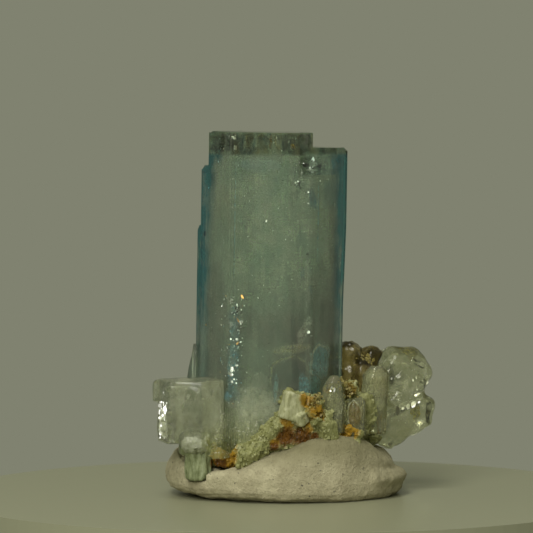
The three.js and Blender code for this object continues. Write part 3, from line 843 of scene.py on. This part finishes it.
# The thick crystal at the left and the large ones behind are cracked inside, and some sheets in the large
# ones are painted reflection and painted shade: each sheet has its place, its half sizes, how it is turned,
# its bow, how much it covers in the middle and at its rim, and its two colours.
MISTY, MISTY_RIM, WHITE_CRACK_AND_REFLECTION = "#b9bf9f", "#dfe2cc", "#fbfdf0"
DARK_CRACK_AND_SHADE, OLIVE_STAIN, BROWN_AND_SHADE = "#4a4f38", "#a39a34", "#6f6238"
QUARTZ_CRACKS = {
    "clear_crystal_left": [
        ((-9.3, -6.9, 10.9), 2.6, 0.45, (104, 4, 0), 0.1, 0.20, 0.6, MISTY, MISTY_RIM),
        ((-9.6, -6.0, 10.0), 2.7, 1.2, (24, 6, 0), 0.2, 0.25, 0.5, MISTY, MISTY_RIM),
        ((-11.6, -7.0, 7.7), 0.8, 1.7, (88, 4, 10), 0.2, 0.7, 0.6, MISTY, MISTY_RIM),
        ((-8.6, -6.2, 8.4), 2.0, 1.9, (74, 16, 20), 0.4, 0.35, 0.3, MISTY, MISTY_RIM),
        ((-10.3, -5.6, 8.0), 1.3, 1.9, (80, -20, -10), 0.3, 0.3, 0.3, MISTY, MISTY_RIM),
        ((-9.4, -5.6, 6.6), 2.6, 1.2, (30, -8, 0), 0.3, 0.4, 0.3, MISTY, MISTY_RIM),
    ],
    # In the large ones behind, the white sheets are partly cracks and partly painted reflection of the lamps,
    # and the dark olive ones are partly cracks and partly painted shade.
    "clear_crystals_rear": [
        ((11.6, 3.4, 11.4), 2.1, 1.7, (80, 14, 6), 0.3, 0.18, 0.5, MISTY, MISTY_RIM),
        ((12.0, 2.2, 8.6), 2.0, 0.30, (78, -22, 0), 0.1, 0.9, 0.9, WHITE_CRACK_AND_REFLECTION, WHITE_CRACK_AND_REFLECTION),
        ((12.1, 2.4, 8.2), 1.9, 0.16, (84, -22, 0), 0.1, 0.8, 0.3, DARK_CRACK_AND_SHADE, DARK_CRACK_AND_SHADE),
        ((11.2, 2.2, 9.6), 0.7, 0.5, (84, -14, 0), 0.1, 0.8, 0.9, WHITE_CRACK_AND_REFLECTION, WHITE_CRACK_AND_REFLECTION),
        ((10.4, 2.0, 11.7), 0.5, 1.3, (84, 30, 0), 0.1, 0.55, 0.1, DARK_CRACK_AND_SHADE, MISTY),
        ((10.9, 2.0, 11.4), 0.25, 0.7, (84, 10, 0), 0.1, 0.8, 0.0, DARK_CRACK_AND_SHADE, DARK_CRACK_AND_SHADE),
        ((13.7, 3.0, 12.8), 0.55, 0.14, (84, 30, 0), 0.1, 0.9, 0.9, WHITE_CRACK_AND_REFLECTION, WHITE_CRACK_AND_REFLECTION),
        ((13.6, 3.0, 12.5), 0.55, 0.12, (84, 30, 0), 0.1, 0.9, 0.3, DARK_CRACK_AND_SHADE, DARK_CRACK_AND_SHADE),
        ((13.3, 3.0, 13.1), 0.5, 0.12, (84, 30, 0), 0.1, 0.9, 0.3, DARK_CRACK_AND_SHADE, DARK_CRACK_AND_SHADE),
        ((13.9, 3.2, 10.7), 0.25, 0.9, (84, 0, 0), 0.1, 0.8, 0.3, DARK_CRACK_AND_SHADE, MISTY),
        ((13.2, 2.4, 8.0), 0.6, 0.8, (84, 0, 0), 0.1, 0.9, 0.3, OLIVE_STAIN, OLIVE_STAIN),
        ((12.6, 3.2, 13.8), 0.9, 0.6, (84, 30, 0), 0.1, 0.7, 0.3, OLIVE_STAIN, OLIVE_STAIN),
        ((11.6, 2.4, 6.4), 1.9, 1.1, (84, -24, 0), 0.2, 0.3, 0.2, OLIVE_STAIN, MISTY),
        ((10.9, 2.8, 11.2), 1.4, 1.3, (84, 0, 0), 0.2, 0.3, 0.0, DARK_CRACK_AND_SHADE, MISTY),
        ((9.8, 2.0, 6.9), 1.0, 1.2, (84, 0, 0), 0.2, 0.5, 0.1, DARK_CRACK_AND_SHADE, MISTY),
    ],
    "clear_column_side": [((8.9, -1.4, 9.0), 0.8, 2.2, (86, 0, 0), 0.2, 0.5, 0.4, MISTY, MISTY_RIM)],
    # The brown sheet in this column is partly its own smoky brown and partly painted shade.
    "clear_column_right": [((6.9, -5.9, 8.4), 0.8, 1.5, (86, 0, 0), 0.2, 0.8, 0.4, BROWN_AND_SHADE, MISTY)],
    "clear_point_right": [((4.85, -6.8, 9.0), 0.6, 1.9, (88, 0, 0), 0.2, 0.5, 0.4, MISTY, MISTY_RIM)],
}
for node, sheets in QUARTZ_CRACKS.items():
    sheet = bmesh.new()
    for shape in sheets:
        crack(sheet, *shape)
    finish_piece(sheet, node + "_cracks", HEALED_CRACK, "inclusions", [node], smooth=True)

# Cracks that face the light shine like mirrors: each has its place and radius.
LEFT_SPARKLES = [
    (-12.1, -6.9, 9.3, 0.25),
    (-12.2, -6.9, 8.2, 0.2),
    (-11.5, -7.1, 7.3, 0.4),
    (-11.7, -7.1, 9.1, 0.25),
    (-9.4, -7.4, 10.4, 0.2),
]
SPARKLES = {
    "clear_crystal_left": LEFT_SPARKLES
    + scattered(60, (-12.3, -7.4, 6.2), (-11.3, -6.8, 9.8), (0.04, 0.20), seed=21)
    + scattered(30, (-12.0, -7.4, 9.6), (-6.8, -6.8, 11.2), (0.02, 0.07), seed=23),
    "clear_point_right": [(4.7, -7.3, 11.2, 0.26), (4.55, -7.3, 10.9, 0.12), (4.9, -7.3, 11.0, 0.16)],
    "clear_crystals_rear": [(10.3 + 0.55 * i, 1.6, 7.7 + 0.22 * i, 0.12 + 0.1 * (i % 3)) for i in range(7)]
    + [(13.7, 3.0, 12.7, 0.4), (14.0, 3.2, 11.9, 0.3), (13.9, 3.2, 10.5, 0.22), (9.9, 1.4, 9.7, 0.25)]
    + scattered(20, (12.6, 2.4, 9.4), (14.0, 4.0, 13.6), (0.05, 0.2), seed=25)
    + scattered(20, (9.4, 1.8, 6.4), (13.4, 3.4, 10.4), (0.04, 0.12), seed=27),
}
for node, places in SPARKLES.items():
    finish_piece(
        flakes(places, seed=22), node + "_flakes", bpy.data.materials["silver_flakes"], "inclusions", [node]
    )

# ---- Iron-stained quartz ---------------------------------------------------------------------------
# Small crystals beside the big clear ones, glassy inside, under a brown and olive skin of iron oxide.

# Where the iron oxide lies thickest, and how far it reaches.
IRON_AT = [
    ((6.5, 2.0, 15.2), 1.3),
    ((8.0, 1.0, 13.6), 1.7),
    ((8.8, 2.2, 14.3), 1.7),
    ((9.7, 2.8, 13.2), 1.8),
    ((8.6, 1.4, 12.3), 1.3),
    ((8.0, 1.0, 11.2), 1.2),
    ((7.0, 0.8, 10.6), 1.0),
]
STAINED = quartz_finish("stained_quartz", 0.84, "#8c7c3e", "#c2b27a", 0.24, stain_code="#3c3208")
stained = worn_skin(from_frame("stained_crystals"), 0.11, 0.22, 0.10, swell=0.1)
mark(stained, "stain", IRON_AT)
finish_piece(stained, "stained_quartz", STAINED, "stained_quartz", ["stained_crystals"], smooth=True)

# ---- Milky foot ------------------------------------------------------------------------------------
# Milky quartz that the foot of the aquamarine grew into: a skin over the front of the prism's foot,
# thick at the crust and thinning out upwards, and to the right into the smoky hollow.


def milky_finish():
    # Milky quartz: white with bubbles, streaky and flecked, and clearing towards the aquamarine.
    made, tree = new_material("milky_quartz")
    place = add(tree, "TexCoord", give="Object")
    x = add(tree, "SeparateXYZ", {0: place}, give="X")
    z = add(tree, "SeparateXYZ", {0: place}, give="Z")
    clouds = add(tree, "TexNoise", {"Vector": place, "Scale": 560, "Detail": 8.0, "Roughness": 0.72})
    upright = add(tree, "Mapping", {"Vector": place, "Scale": (3200, 3200, 1100)})
    streaks = add(tree, "TexNoise", {"Vector": upright, "Scale": 1.0, "Detail": 5.0, "Roughness": 0.75})
    grain = add(tree, "Math", {0: clouds, 1: streaks}, operation="ADD")
    upper = add(tree, "MapRange", {0: z, 1: 0.0055, 2: 0.0085})
    pale = add(tree, "Mix", {0: upper, 6: linear("#a6a974"), 7: linear("#d6dbba")}, **COLOURS)
    dark = add(tree, "Mix", {0: upper, 6: linear("#757a4a"), 7: linear("#8f9778")}, **COLOURS)
    grained = add(tree, "MapRange", {0: grain, 1: 0.8, 2: 1.18})
    shade = add(tree, "Mix", {0: grained, 6: dark, 7: pale}, **COLOURS)
    flecks = add(tree, "TexNoise", {"Vector": place, "Scale": 5200, "Detail": 1.0})
    white = add(tree, "MapRange", {0: flecks, 1: 0.64, 2: 0.7})
    shade = add(tree, "Mix", {0: white, 6: shade, 7: linear("#f4f6e6")}, **COLOURS)
    uneven = add(tree, "Math", {0: clouds, 1: 0.012, 2: -0.006}, operation="MULTIPLY_ADD")
    height = add(tree, "Math", {0: z, 1: uneven}, operation="ADD")
    solid = add(tree, "MapRange", {0: height, 1: 0.0118, 2: 0.0056, 3: 0.0, 4: 0.8})
    aside = add(tree, "Math", {0: x, 1: uneven}, operation="SUBTRACT")
    rightward = add(tree, "MapRange", {0: aside, 1: 0.0006, 2: -0.0026})
    leftward = add(tree, "MapRange", {0: aside, 1: -0.0088, 2: -0.0062})
    solid = add(tree, "Math", {0: solid, 1: rightward}, operation="MULTIPLY")
    solid = add(tree, "Math", {0: solid, 1: leftward}, operation="MULTIPLY")
    patchy = add(tree, "MapRange", {0: grain, 1: 0.8, 2: 1.18, 3: 0.55, 4: 1.0})
    solid = add(tree, "Math", {0: solid, 1: patchy}, operation="MULTIPLY")
    relief = add(tree, "Bump", {"Height": clouds, "Strength": 0.4, "Distance": 0.00015})
    look = {
        "Base Color": shade, "Roughness": 0.6, "Specular IOR Level": 0.2, "Alpha": solid, "Normal": relief,
    }
    surface = add(tree, "BsdfPrincipled", look)
    add(tree, "OutputMaterial", {"Surface": surface})
    return made


# It also fills the corner between the prism's front and the thick clear crystal at the left.
SKIN_LEFT, SKIN_RIGHT, SKIN_LOW, SKIN_HIGH = -9.4, 1.8, 4.2, 13.0
CORNER_START, CORNER_WIDE, THICK_FRONT = -4.6, 1.9, -8.35
SKIN_PROUD, SKIN_WAVE = 0.10, 0.04
milky = bmesh.new()
bmesh.ops.create_grid(milky, x_segments=70, y_segments=70, size=1.0)
for vert in milky.verts:
    across = SKIN_LEFT + (SKIN_RIGHT - SKIN_LEFT) * (vert.co.x + 1) / 2
    up = SKIN_LOW + (SKIN_HIGH - SKIN_LOW) * (vert.co.y + 1) / 2
    proud = SKIN_PROUD + SKIN_WAVE * noise.noise(Vector((across, 0, up)))
    into_corner = ramp(across, CORNER_START, -CORNER_WIDE)
    into_corner *= into_corner * (3 - 2 * into_corner)
    y = -PRISM_HALF_DEPTH + (THICK_FRONT + PRISM_HALF_DEPTH) * into_corner - proud
    vert.co = Vector((across, y, up))
lean(milky)
finish_piece(milky, "milky_quartz", milky_finish(), "milky_quartz", ["milky_quartz_foot"], smooth=True)

# ---- Granular feldspar -----------------------------------------------------------------------------
# The crust that everything grew on: pale greenish feldspar in sugary lumps, with ochre and rust-coloured
# iron stains in its hollows, and crumbs of it stuck all over.


def feldspar_finish(name, pale_code, white_code, ochre_code, rust_code, glassy=0.2):
    # Feldspar, broken and weathered: sugary, slightly translucent grains, stained by iron.
    made, tree = new_material(name)
    place = add(tree, "TexCoord", give="Object")
    mottle = add(tree, "TexNoise", {"Vector": place, "Scale": 1100, "Detail": 8.0, "Roughness": 0.78})
    stain = add(tree, "Attribute", give="Fac", attribute_name="stain")
    rust = add(tree, "Attribute", give="Fac", attribute_name="rust")
    upright = add(tree, "Mapping", {"Vector": place, "Scale": (3600, 3600, 800)})
    needles = add(tree, "TexNoise", {"Vector": upright, "Scale": 1.0, "Detail": 4.0, "Roughness": 0.7})
    fibres = add(tree, "Math", {0: needles, 1: mottle}, operation="ADD")
    share = add(tree, "MapRange", {0: fibres, 1: 0.8, 2: 1.2})
    pale = add(tree, "Mix", {0: share, 6: linear(pale_code), 7: linear(white_code)}, **COLOURS)
    # Iron has crept in between the grains, so the stain is strongest along their joints.
    joints = add(
        tree,
        "TexVoronoi",
        {"Vector": place, "Scale": 1900, "Detail": 1.0},
        give="Distance",
        feature="DISTANCE_TO_EDGE",
    )
    creeping = add(tree, "MapRange", {0: joints, 1: 0.0, 2: 0.22, 3: 0.22, 4: -0.05})
    stain = add(tree, "Math", {0: creeping, 1: 0.25, 2: stain}, operation="MULTIPLY_ADD")
    ochre_here = add(tree, "Math", {0: stain, 1: mottle}, operation="ADD")
    share = add(tree, "MapRange", {0: ochre_here, 1: 0.74, 2: 0.96})
    ochred = add(tree, "Mix", {0: share, 6: pale, 7: linear(ochre_code)}, **COLOURS)
    rust_here = add(tree, "Math", {0: rust, 1: mottle}, operation="ADD")
    share = add(tree, "MapRange", {0: fibres, 1: 0.8, 2: 1.2})
    rusty = add(tree, "Mix", {0: share, 6: linear(rust_code), 7: linear("#8a5a0a")}, **COLOURS)
    share = add(tree, "MapRange", {0: rust_here, 1: 0.80, 2: 1.05})
    rusted = add(tree, "Mix", {0: share, 6: ochred, 7: rusty}, **COLOURS)
    polish = add(tree, "MapRange", {0: mottle, 1: 0.3, 2: 0.7, 3: 0.6, 4: 0.2})
    relief = add(tree, "Bump", {"Height": mottle, "Strength": 0.6, "Distance": 0.00015})
    look = {
        "Base Color": rusted, "Roughness": polish, "IOR": 1.53, "Transmission Weight": glassy,
        "Normal": relief,
    }
    surface = add(tree, "BsdfPrincipled", look)
    add(tree, "OutputMaterial", {"Surface": surface})
    return made


# Where the iron stains are, and how far each reaches.
OCHRE_AT = [
    ((-5.7, -7.0, 4.3), 2.3),
    ((-6.9, -6.6, 5.3), 1.0),
    ((2.3, -8.2, 10.2), 1.3),
    ((3.0, -8.0, 9.0), 1.3),
    ((3.9, -7.6, 8.3), 0.7),
    ((0.2, -7.6, 7.8), 1.1),
    ((2.2, -7.2, 7.2), 1.2),
    ((-0.9, -7.6, 6.0), 0.9),
    ((6.4, -4.9, 11.0), 1.7),
    ((6.4, -5.8, 6.9), 1.7),
    ((-7.5, 3.5, 6.5), 2.4),
    ((2.0, 7.5, 6.5), 3.4),
    ((8.5, 1.5, 7.0), 2.4),
]
RUST_AT = [
    ((0.2, -7.8, 6.4), 1.7),
    ((1.7, -7.6, 6.4), 1.7),
    ((2.9, -7.4, 6.4), 0.9),
    ((-1.0, -7.6, 5.4), 0.9),
    ((-6.3, -7.2, 3.8), 1.2),
    ((3.4, 7.0, 7.5), 2.0),
]


BLOCKY_SHARE = 0.3


def blocky_grain(bm, place, size, chance):
    """Adds one grain there, a block or a rounded one, turned by chance."""
    turn = Euler([chance.uniform(0, math.tau) for _ in range(3)]).to_matrix().to_4x4()
    stretch = Matrix.Diagonal([size * chance.uniform(0.7, 1.3) for _ in range(3)] + [1.0])
    matrix = Matrix.Translation(place) @ turn @ stretch
    if chance.random() < BLOCKY_SHARE:
        bmesh.ops.create_cube(bm, size=1.0, matrix=matrix)
    else:
        bmesh.ops.create_icosphere(bm, subdivisions=1, radius=0.55, matrix=matrix)


BATCH = 100


def gathered(count, make_one):
    """Many small shapes in one mesh. They are made in batches, because a mesh in the making gets slower
    as it grows."""
    whole = bmesh.new()
    for first in range(0, count, BATCH):
        batch = bmesh.new()
        for which in range(first, min(first + BATCH, count)):
            make_one(batch, which)
        mesh = bpy.data.meshes.new("batch")
        batch.to_mesh(mesh)
        batch.free()
        whole.from_mesh(mesh)
        bpy.data.meshes.remove(mesh)
    return whole


def mark_stains(bm):
    """Marks where ochre and rust-coloured iron stains lie on the feldspar."""
    mark(bm, "stain", OCHRE_AT)
    mark(bm, "rust", RUST_AT)


def sugar(core, count, sizes, seed):
    """Grains set all over a skin, each sunk into it."""
    chance = random.Random(seed)
    core.faces.ensure_lookup_table()
    faces = chance.choices(core.faces[:], weights=[face.calc_area() for face in core.faces], k=count)

    def set_one(bm, which):
        size = sizes[0] + (sizes[1] - sizes[0]) * chance.random() ** 3
        blocky_grain(bm, faces[which].calc_center_median(), size, chance)

    return gathered(count, set_one)


def crumbs(heaps, sizes, seed):
    """Loose heaps of grains: where each heap is, how far it spreads, and how many grains it has."""
    chance = random.Random(seed)
    places = [
        Vector(centre) + Vector([chance.gauss(0, 0.5 * spread) for _ in range(3)])
        for centre, spread, count in heaps
        for _ in range(count)
    ]

    def set_one(bm, which):
        size = sizes[0] + (sizes[1] - sizes[0]) * chance.random() ** 2
        blocky_grain(bm, places[which], size, chance)

    return gathered(len(places), set_one)


FELDSPAR = feldspar_finish("feldspar", "#7e8048", "#b2b37c", "#b48d24", "#4a2e02")
crust = from_frame("granular_feldspar")
# A ridge of lumps climbs from the green stub across the prism's foot to the big pale block.
RIDGE_LOW, RIDGE_HIGH, RIDGE_LUMPS = Vector((-3.6, -6.9, 4.2)), Vector((-0.4, -6.6, 8.2)), 6
LOW_LUMP, LUMPS_SHRINK = 1.15, 0.35
for i in range(RIDGE_LUMPS):
    along = i / (RIDGE_LUMPS - 1)
    bmesh.ops.create_icosphere(
        crust,
        subdivisions=3,
        radius=LOW_LUMP - LUMPS_SHRINK * along,
        matrix=Matrix.Translation(RIDGE_LOW.lerp(RIDGE_HIGH, along)),
    )

# Blocky grains stand out of it, on the ridge and on the slope to the right of the big pale block.
SMALL_BLOCKS = [
    ((4.4, -7.7, 6.9), (1.6, 1.2, 2.0), (6, -8, 30)),
    ((-4.1, -8.0, 4.0), (1.3, 1.1, 1.6), (8, 26, 35)),
    ((-3.1, -7.8, 4.6), (1.3, 1.1, 1.0), (20, 10, 10)),
    ((-2.2, -7.8, 5.3), (1.3, 1.0, 1.1), (-10, 30, 50)),
    ((-1.3, -7.7, 6.4), (1.2, 1.0, 1.3), (15, 20, 20)),
    ((-0.7, -7.7, 7.5), (1.1, 1.0, 1.3), (0, 35, 60)),
    ((2.5, -8.2, 9.0), (0.9, 0.9, 1.1), (10, 30, 20)),
    ((3.2, -8.0, 8.0), (0.9, 0.8, 0.9), (30, 10, 50)),
    ((3.4, -8.0, 9.4), (0.8, 0.8, 1.0), (0, 20, 10)),
    ((4.3, -7.7, 8.4), (0.8, 0.7, 1.0), (20, -10, 40)),
]


def set_blocks(bm, places):
    """Adds a block at each place, of its sizes, turned by its angles."""
    for place, sizes, turn in places:
        turned = Euler([math.radians(angle) for angle in turn]).to_matrix().to_4x4()
        matrix = Matrix.Translation(place) @ turned @ Matrix.Diagonal((*sizes, 1.0))
        bmesh.ops.create_cube(bm, size=1.0, matrix=matrix)


# The sizes of the flat breaks on its lumps and crumbs, and how far each stands out or in.
CRUST_LIFT, FLAT_BREAKS = -0.05, [(1.6, 0.22), (0.6, 0.22)]
GRAINS, GRAIN_SIZES, CRUMB_SIZES = 9000, (0.10, 0.40), (0.07, 0.24)
set_blocks(crust, SMALL_BLOCKS)
crust = worn_skin(crust, 0.13, 0.3, rounds=3)
for vert in crust.verts:
    # Each lump is broken flat in a direction of its own, and so is each crumb on it.
    lift = CRUST_LIFT
    for size, share in FLAT_BREAKS:
        nearest = noise.voronoi(vert.co / size)[1][0]
        lift += share * (vert.co - size * nearest).dot(noise.noise_vector(5.3 * nearest))
    vert.co += vert.normal * lift
crust.normal_update()
crust_grains = sugar(crust, GRAINS, GRAIN_SIZES, seed=31)
mark_stains(crust)
finish_piece(crust, "feldspar_crust", FELDSPAR, "feldspar", ["granular_feldspar"])
mark_stains(crust_grains)
finish_piece(crust_grains, "feldspar_grains", FELDSPAR, "feldspar", ["granular_feldspar"])

# Two grains are far larger and glassier than the rest: where each block stands, its sizes and how it is
# turned.
BLOCKS = [
    ((0.75, -8.0, 9.4), (2.0, 1.3, 2.6), (4, 14, 24)),
    ((1.6, -7.9, 8.3), (1.2, 1.2, 1.2), (10, -20, 40)),
]
GLASSY_FELDSPAR = feldspar_finish(
    "glassy_feldspar", "#afb17c", "#eaebc2", "#a5821c", "#4a2e02", glassy=0.35
)
blocks = bmesh.new()
set_blocks(blocks, BLOCKS)
blocks = worn_skin(blocks, 0.09, 0.18, 0.05, swell=0.06, rounds=5)
mark_stains(blocks)
finish_piece(blocks, "feldspar_blocks", GLASSY_FELDSPAR, "feldspar", ["granular_feldspar"], smooth=True)

# Ochre crumbs stick to the tops of the crust and to the sides of the small clear crystals.
CRUMB_HEAPS = [
    ((6.3, -5.5, 10.9), 0.8, 260),
    ((5.9, -6.0, 11.4), 0.45, 80),
    ((3.8, -7.9, 8.6), 0.3, 40),
    ((2.9, -8.3, 9.9), 0.6, 110),
    ((3.4, -8.0, 10.5), 0.4, 40),
    ((-6.9, -7.2, 5.5), 0.3, 40),
    ((1.8, -8.1, 7.7), 0.6, 40),
    ((8.4, 1.4, 13.2), 0.7, 60),
]
OCHRE = feldspar_finish("ochre_crumbs", "#8f7f34", "#ccc07a", "#8c7424", "#5e3c04", glassy=0.35)
crumb_heaps = crumbs(CRUMB_HEAPS, CRUMB_SIZES, seed=33)
mark_stains(crumb_heaps)
finish_piece(crumb_heaps, "ochre_crumbs", OCHRE, "feldspar", ["granular_feldspar"])

# ---- Fluted stub -----------------------------------------------------------------------------------
# The broken foot of a smaller olive-green crystal, with upright flutes and a cap of pale needles. It is
# sunk into the putty.

STUB = feldspar_finish("green_stub", "#6a744a", "#aab388", "#7d8854", "#5f3d12")
STUB_FLUTE_DEPTH = 0.16
stub = worn_skin(from_frame("fluted_stub"), 0.11, swell=0.1, rounds=1)
for vert in stub.verts:
    around = Vector((vert.co.x * 3.4, vert.co.y * 3.4, vert.co.z * 0.7))
    vert.co += vert.normal * STUB_FLUTE_DEPTH * noise.noise(around)
stub.normal_update()
RUST_AT_STUB = [((-7.2, -6.6, 3.8), 0.9)]
mark(stub, "stain", [((-8.8, -6.8, 6.4), 1.0)])
mark(stub, "rust", RUST_AT_STUB)
finish_piece(stub, "green_stub", STUB, "fluted_stub", ["fluted_stub"], smooth=True)

NEEDLES = quartz_finish("needle_quartz", 0.6, "#b4ba92", "#eef1da", 0.45, shine=0.2)
# The cap: a rounded block of needles side by side, which hang a little over the stub.
CAP_CENTRE, CAP_HALF = Vector((-8.75, -7.2, 5.95)), Vector((1.5, 1.3, 1.2))
# How boxy it is, from 1 for round, how far its top is pushed back, and how deep its needles stand.
CAP_BOXY, CAP_PUSHED, NEEDLE_DEPTH, NEEDLE_ENDS = 0.7, 0.6, 0.09, 0.35
cap = bmesh.new()
bmesh.ops.create_icosphere(cap, subdivisions=5, radius=1.0)
for vert in cap.verts:
    boxy = Vector([math.copysign(abs(along) ** CAP_BOXY, along) for along in vert.co])
    needle = noise.noise(Vector((boxy.x * 6.5, boxy.y * 6.5, boxy.z * 0.6)))
    low_edge = NEEDLE_ENDS * needle * (boxy.z < 0)
    vert.co = CAP_CENTRE + boxy * CAP_HALF * (1 + NEEDLE_DEPTH * needle)
    vert.co += Vector((0, CAP_PUSHED * max(0.0, boxy.z), low_edge))
bmesh.ops.recalc_face_normals(cap, faces=cap.faces)
mark(cap, "stain", [((-7.3, -8.0, 6.0), 0.7)])
mark(cap, "rust", RUST_AT_STUB)
finish_piece(cap, "stub_cap", NEEDLES, "fluted_stub", ["fluted_stub"], smooth=True)

# ---- Display putty ---------------------------------------------------------------------------------
# A thumb-pressed lump of grey-beige putty that grips the specimen's underside.


def putty_finish():
    # Putty, pressed by hand: matt and slightly waxy, with dark specks, pin holes and fine dust on it.
    made, tree = new_material("putty")
    place = add(tree, "TexCoord", give="Object")
    blotch = add(tree, "TexNoise", {"Vector": place, "Scale": 420, "Detail": 7.0, "Roughness": 0.7})
    grit = add(tree, "TexNoise", {"Vector": place, "Scale": 3600, "Detail": 4.0, "Roughness": 0.75})
    specks = add(tree, "TexNoise", {"Vector": place, "Scale": 2300, "Detail": 1.5})
    share = add(tree, "MapRange", {0: blotch, 1: 0.3, 2: 0.7})
    base = add(tree, "Mix", {0: share, 6: linear("#a29a7c"), 7: linear("#ccc5a4")}, **COLOURS)
    share = add(tree, "MapRange", {0: grit, 1: 0.52, 2: 0.68, 3: 0.0, 4: 0.5})
    base = add(tree, "Mix", {0: share, 6: base, 7: linear("#7d7560")}, **COLOURS)
    share = add(tree, "MapRange", {0: specks, 1: 0.695, 2: 0.72, 3: 0.0, 4: 0.8})
    dotted = add(tree, "Mix", {0: share, 6: base, 7: linear("#4b4a44")}, **COLOURS)
    # Painted shade: it is darker towards its top, under the crust, and towards its right-hand end.
    z = add(tree, "SeparateXYZ", {0: place}, give="Z")
    high = add(tree, "MapRange", {0: z, 1: 0.0030, 2: 0.0052, 3: 0.0, 4: 0.85})
    x = add(tree, "SeparateXYZ", {0: place}, give="X")
    aside = add(tree, "MapRange", {0: x, 1: 0.0080, 2: 0.0110, 3: 0.0, 4: 0.4})
    share = add(tree, "Math", {0: high, 1: aside}, operation="MAXIMUM")
    painted_shade = add(tree, "Mix", {0: share, 6: dotted, 7: linear("#827d5c")}, **COLOURS)
    relief = add(tree, "Bump", {"Height": grit, "Strength": 0.9, "Distance": 0.00022})
    surface = add(tree, "BsdfPrincipled", {"Base Color": painted_shade, "Roughness": 0.8, "Normal": relief})
    add(tree, "OutputMaterial", {"Surface": surface})
    return made


putty = worn_skin(from_frame("putty_lump"), 0.2)
# Its dents, coarse to fine, each with its height and how often it comes.
DENTS = [(0.22, 0.45), (0.08, 1.6), (0.03, 4)]
FINGER_RIDGES_APART, FINGER_RIDGE_HIGH = 0.42, 0.028
# It is squeezed up most here across the front, and less and less to both sides.
SQUEEZED_AT, SQUEEZED_UP, SQUEEZED_LEFT, SQUEEZED_RIGHT = 5.2, 1.8, 5.7, 3.6
STUB_HOLLOW_X, STUB_HOLLOW_Z, STUB_HOLLOW_REACH = -10.1, 4.5, 0.55
END_START, END_LONG, END_RIDGE, END_GROOVE = 8.0, 2.5, 0.35, 0.30
PITS, PIT_SIZES = 220, (0.12, 0.45)
PIT_LOW, PIT_HIGH = (-12, -10.5, 0.3), (12, 10.5, 6.2)
pits = KDTree(PITS)
pit_sizes = []
for x, y, z, size in scattered(PITS, PIT_LOW, PIT_HIGH, PIT_SIZES, seed=42):
    pits.insert((x, y, z), len(pit_sizes))
    pit_sizes.append(size)
pits.balance()
for vert in putty.verts:
    if vert.co.z > 0.05:
        point = vert.co.copy()
        lift = sum(high * noise.noise(point * often) for high, often in DENTS)
        # Fine ridges like those of a finger tip run along the lower front.
        ridge = math.sin(math.tau * (point.z + 0.25 * noise.noise(point * 0.35)) / FINGER_RIDGES_APART)
        lift += FINGER_RIDGE_HIGH * ridge * ramp(point.z, 3.2, -1.5)
        # It is squeezed up against the crust in front, and hollowed beside the stub.
        spread = SQUEEZED_LEFT if point.x < SQUEEZED_AT else SQUEEZED_RIGHT
        rise = SQUEEZED_UP * hump(point.x, SQUEEZED_AT, spread)
        rise *= ramp(point.z, 2.0, 2.0) * ramp(point.y, -2.0, -2.5)
        beside_stub = math.hypot(point.x - STUB_HOLLOW_X, point.z - STUB_HOLLOW_Z)
        if point.y < 0:
            lift -= 1.6 * max(0.0, STUB_HOLLOW_REACH - beside_stub)
        # Its right-hand end is pinched to a ridge, with a groove above.
        end = ramp(point.x, END_START, END_LONG)
        lift += end * (END_RIDGE * hump(point.z, 1.9, 0.5))
        lift -= end * (END_GROOVE * hump(point.z, 3.0, 0.4))
        _, which, gap = pits.find(point)
        if gap < pit_sizes[which]:
            lift -= 0.35 * (pit_sizes[which] - gap)
        vert.co = point + vert.normal * lift + Vector((0, 0, rise))
finish_piece(putty, "putty", putty_finish(), "putty", ["putty_lump"], smooth=True)

# ---- Studio ----------------------------------------------------------------------------------------
# A plain pale round table top, a plain grey backdrop light, and two large soft lamps, one overhead and
# one in front. They stand in metres.


def table_finish():
    # A painted table top, pale and satin.
    made, tree = new_material("table_top")
    surface = add(tree, "BsdfPrincipled", {"Base Color": linear("#95967d"), "Roughness": 0.35})
    add(tree, "OutputMaterial", {"Surface": surface})
    return made


TABLE_RADIUS, TABLE_THICK = 0.034, 0.004
disc = bmesh.new()
bmesh.ops.create_cone(
    disc,
    cap_ends=True,
    segments=128,
    radius1=TABLE_RADIUS,
    radius2=TABLE_RADIUS,
    depth=TABLE_THICK,
    matrix=Matrix.Translation((0, 0, -TABLE_THICK / 2)),
)
disc_mesh = bpy.data.meshes.new("table_top")
disc.to_mesh(disc_mesh)
disc.free()
disc_mesh.materials.append(table_finish())
table = bpy.data.objects.new("table_top", disc_mesh)
bpy.context.scene.collection.objects.link(table)

LAMP_TINT, LAMPS_AIM = (1.0, 0.99, 0.9), (0, 0, 0.01)


def soft_lamp(name, place, size, power):
    """A round lamp that wide, turned towards the foot of the specimen."""
    lamp = bpy.data.lights.new(name, "AREA")
    lamp.shape = "DISK"
    lamp.size = size
    lamp.energy = power
    lamp.color = LAMP_TINT
    holder = bpy.data.objects.new(name, lamp)
    holder.location = place
    holder.rotation_euler = (Vector(LAMPS_AIM) - Vector(place)).to_track_quat("-Z", "Y").to_euler()
    bpy.context.scene.collection.objects.link(holder)


soft_lamp("overhead", (-0.06, -0.15, 0.33), size=0.16, power=0.5)
soft_lamp("front", (-0.10, -0.36, 0.20), size=0.24, power=0.95)

world = bpy.data.worlds.new("room")
world.use_nodes = True
world.node_tree.nodes.clear()
backdrop = add(world.node_tree, "Background", {"Color": linear("#808270"), "Strength": 1.0})
add(world.node_tree, "OutputWorld", {"Surface": backdrop})
bpy.context.scene.world = world
bpy.context.scene.view_settings.view_transform = "Standard"

lens = bpy.data.cameras.new("camera")
lens.lens = 248
lens.clip_start = 0.01
camera = bpy.data.objects.new("camera", lens)
camera.location = (-0.00175, -0.367, 0.0404)
camera.rotation_euler = (math.radians(87.25), 0, 0)
bpy.context.scene.collection.objects.link(camera)
bpy.context.scene.camera = camera
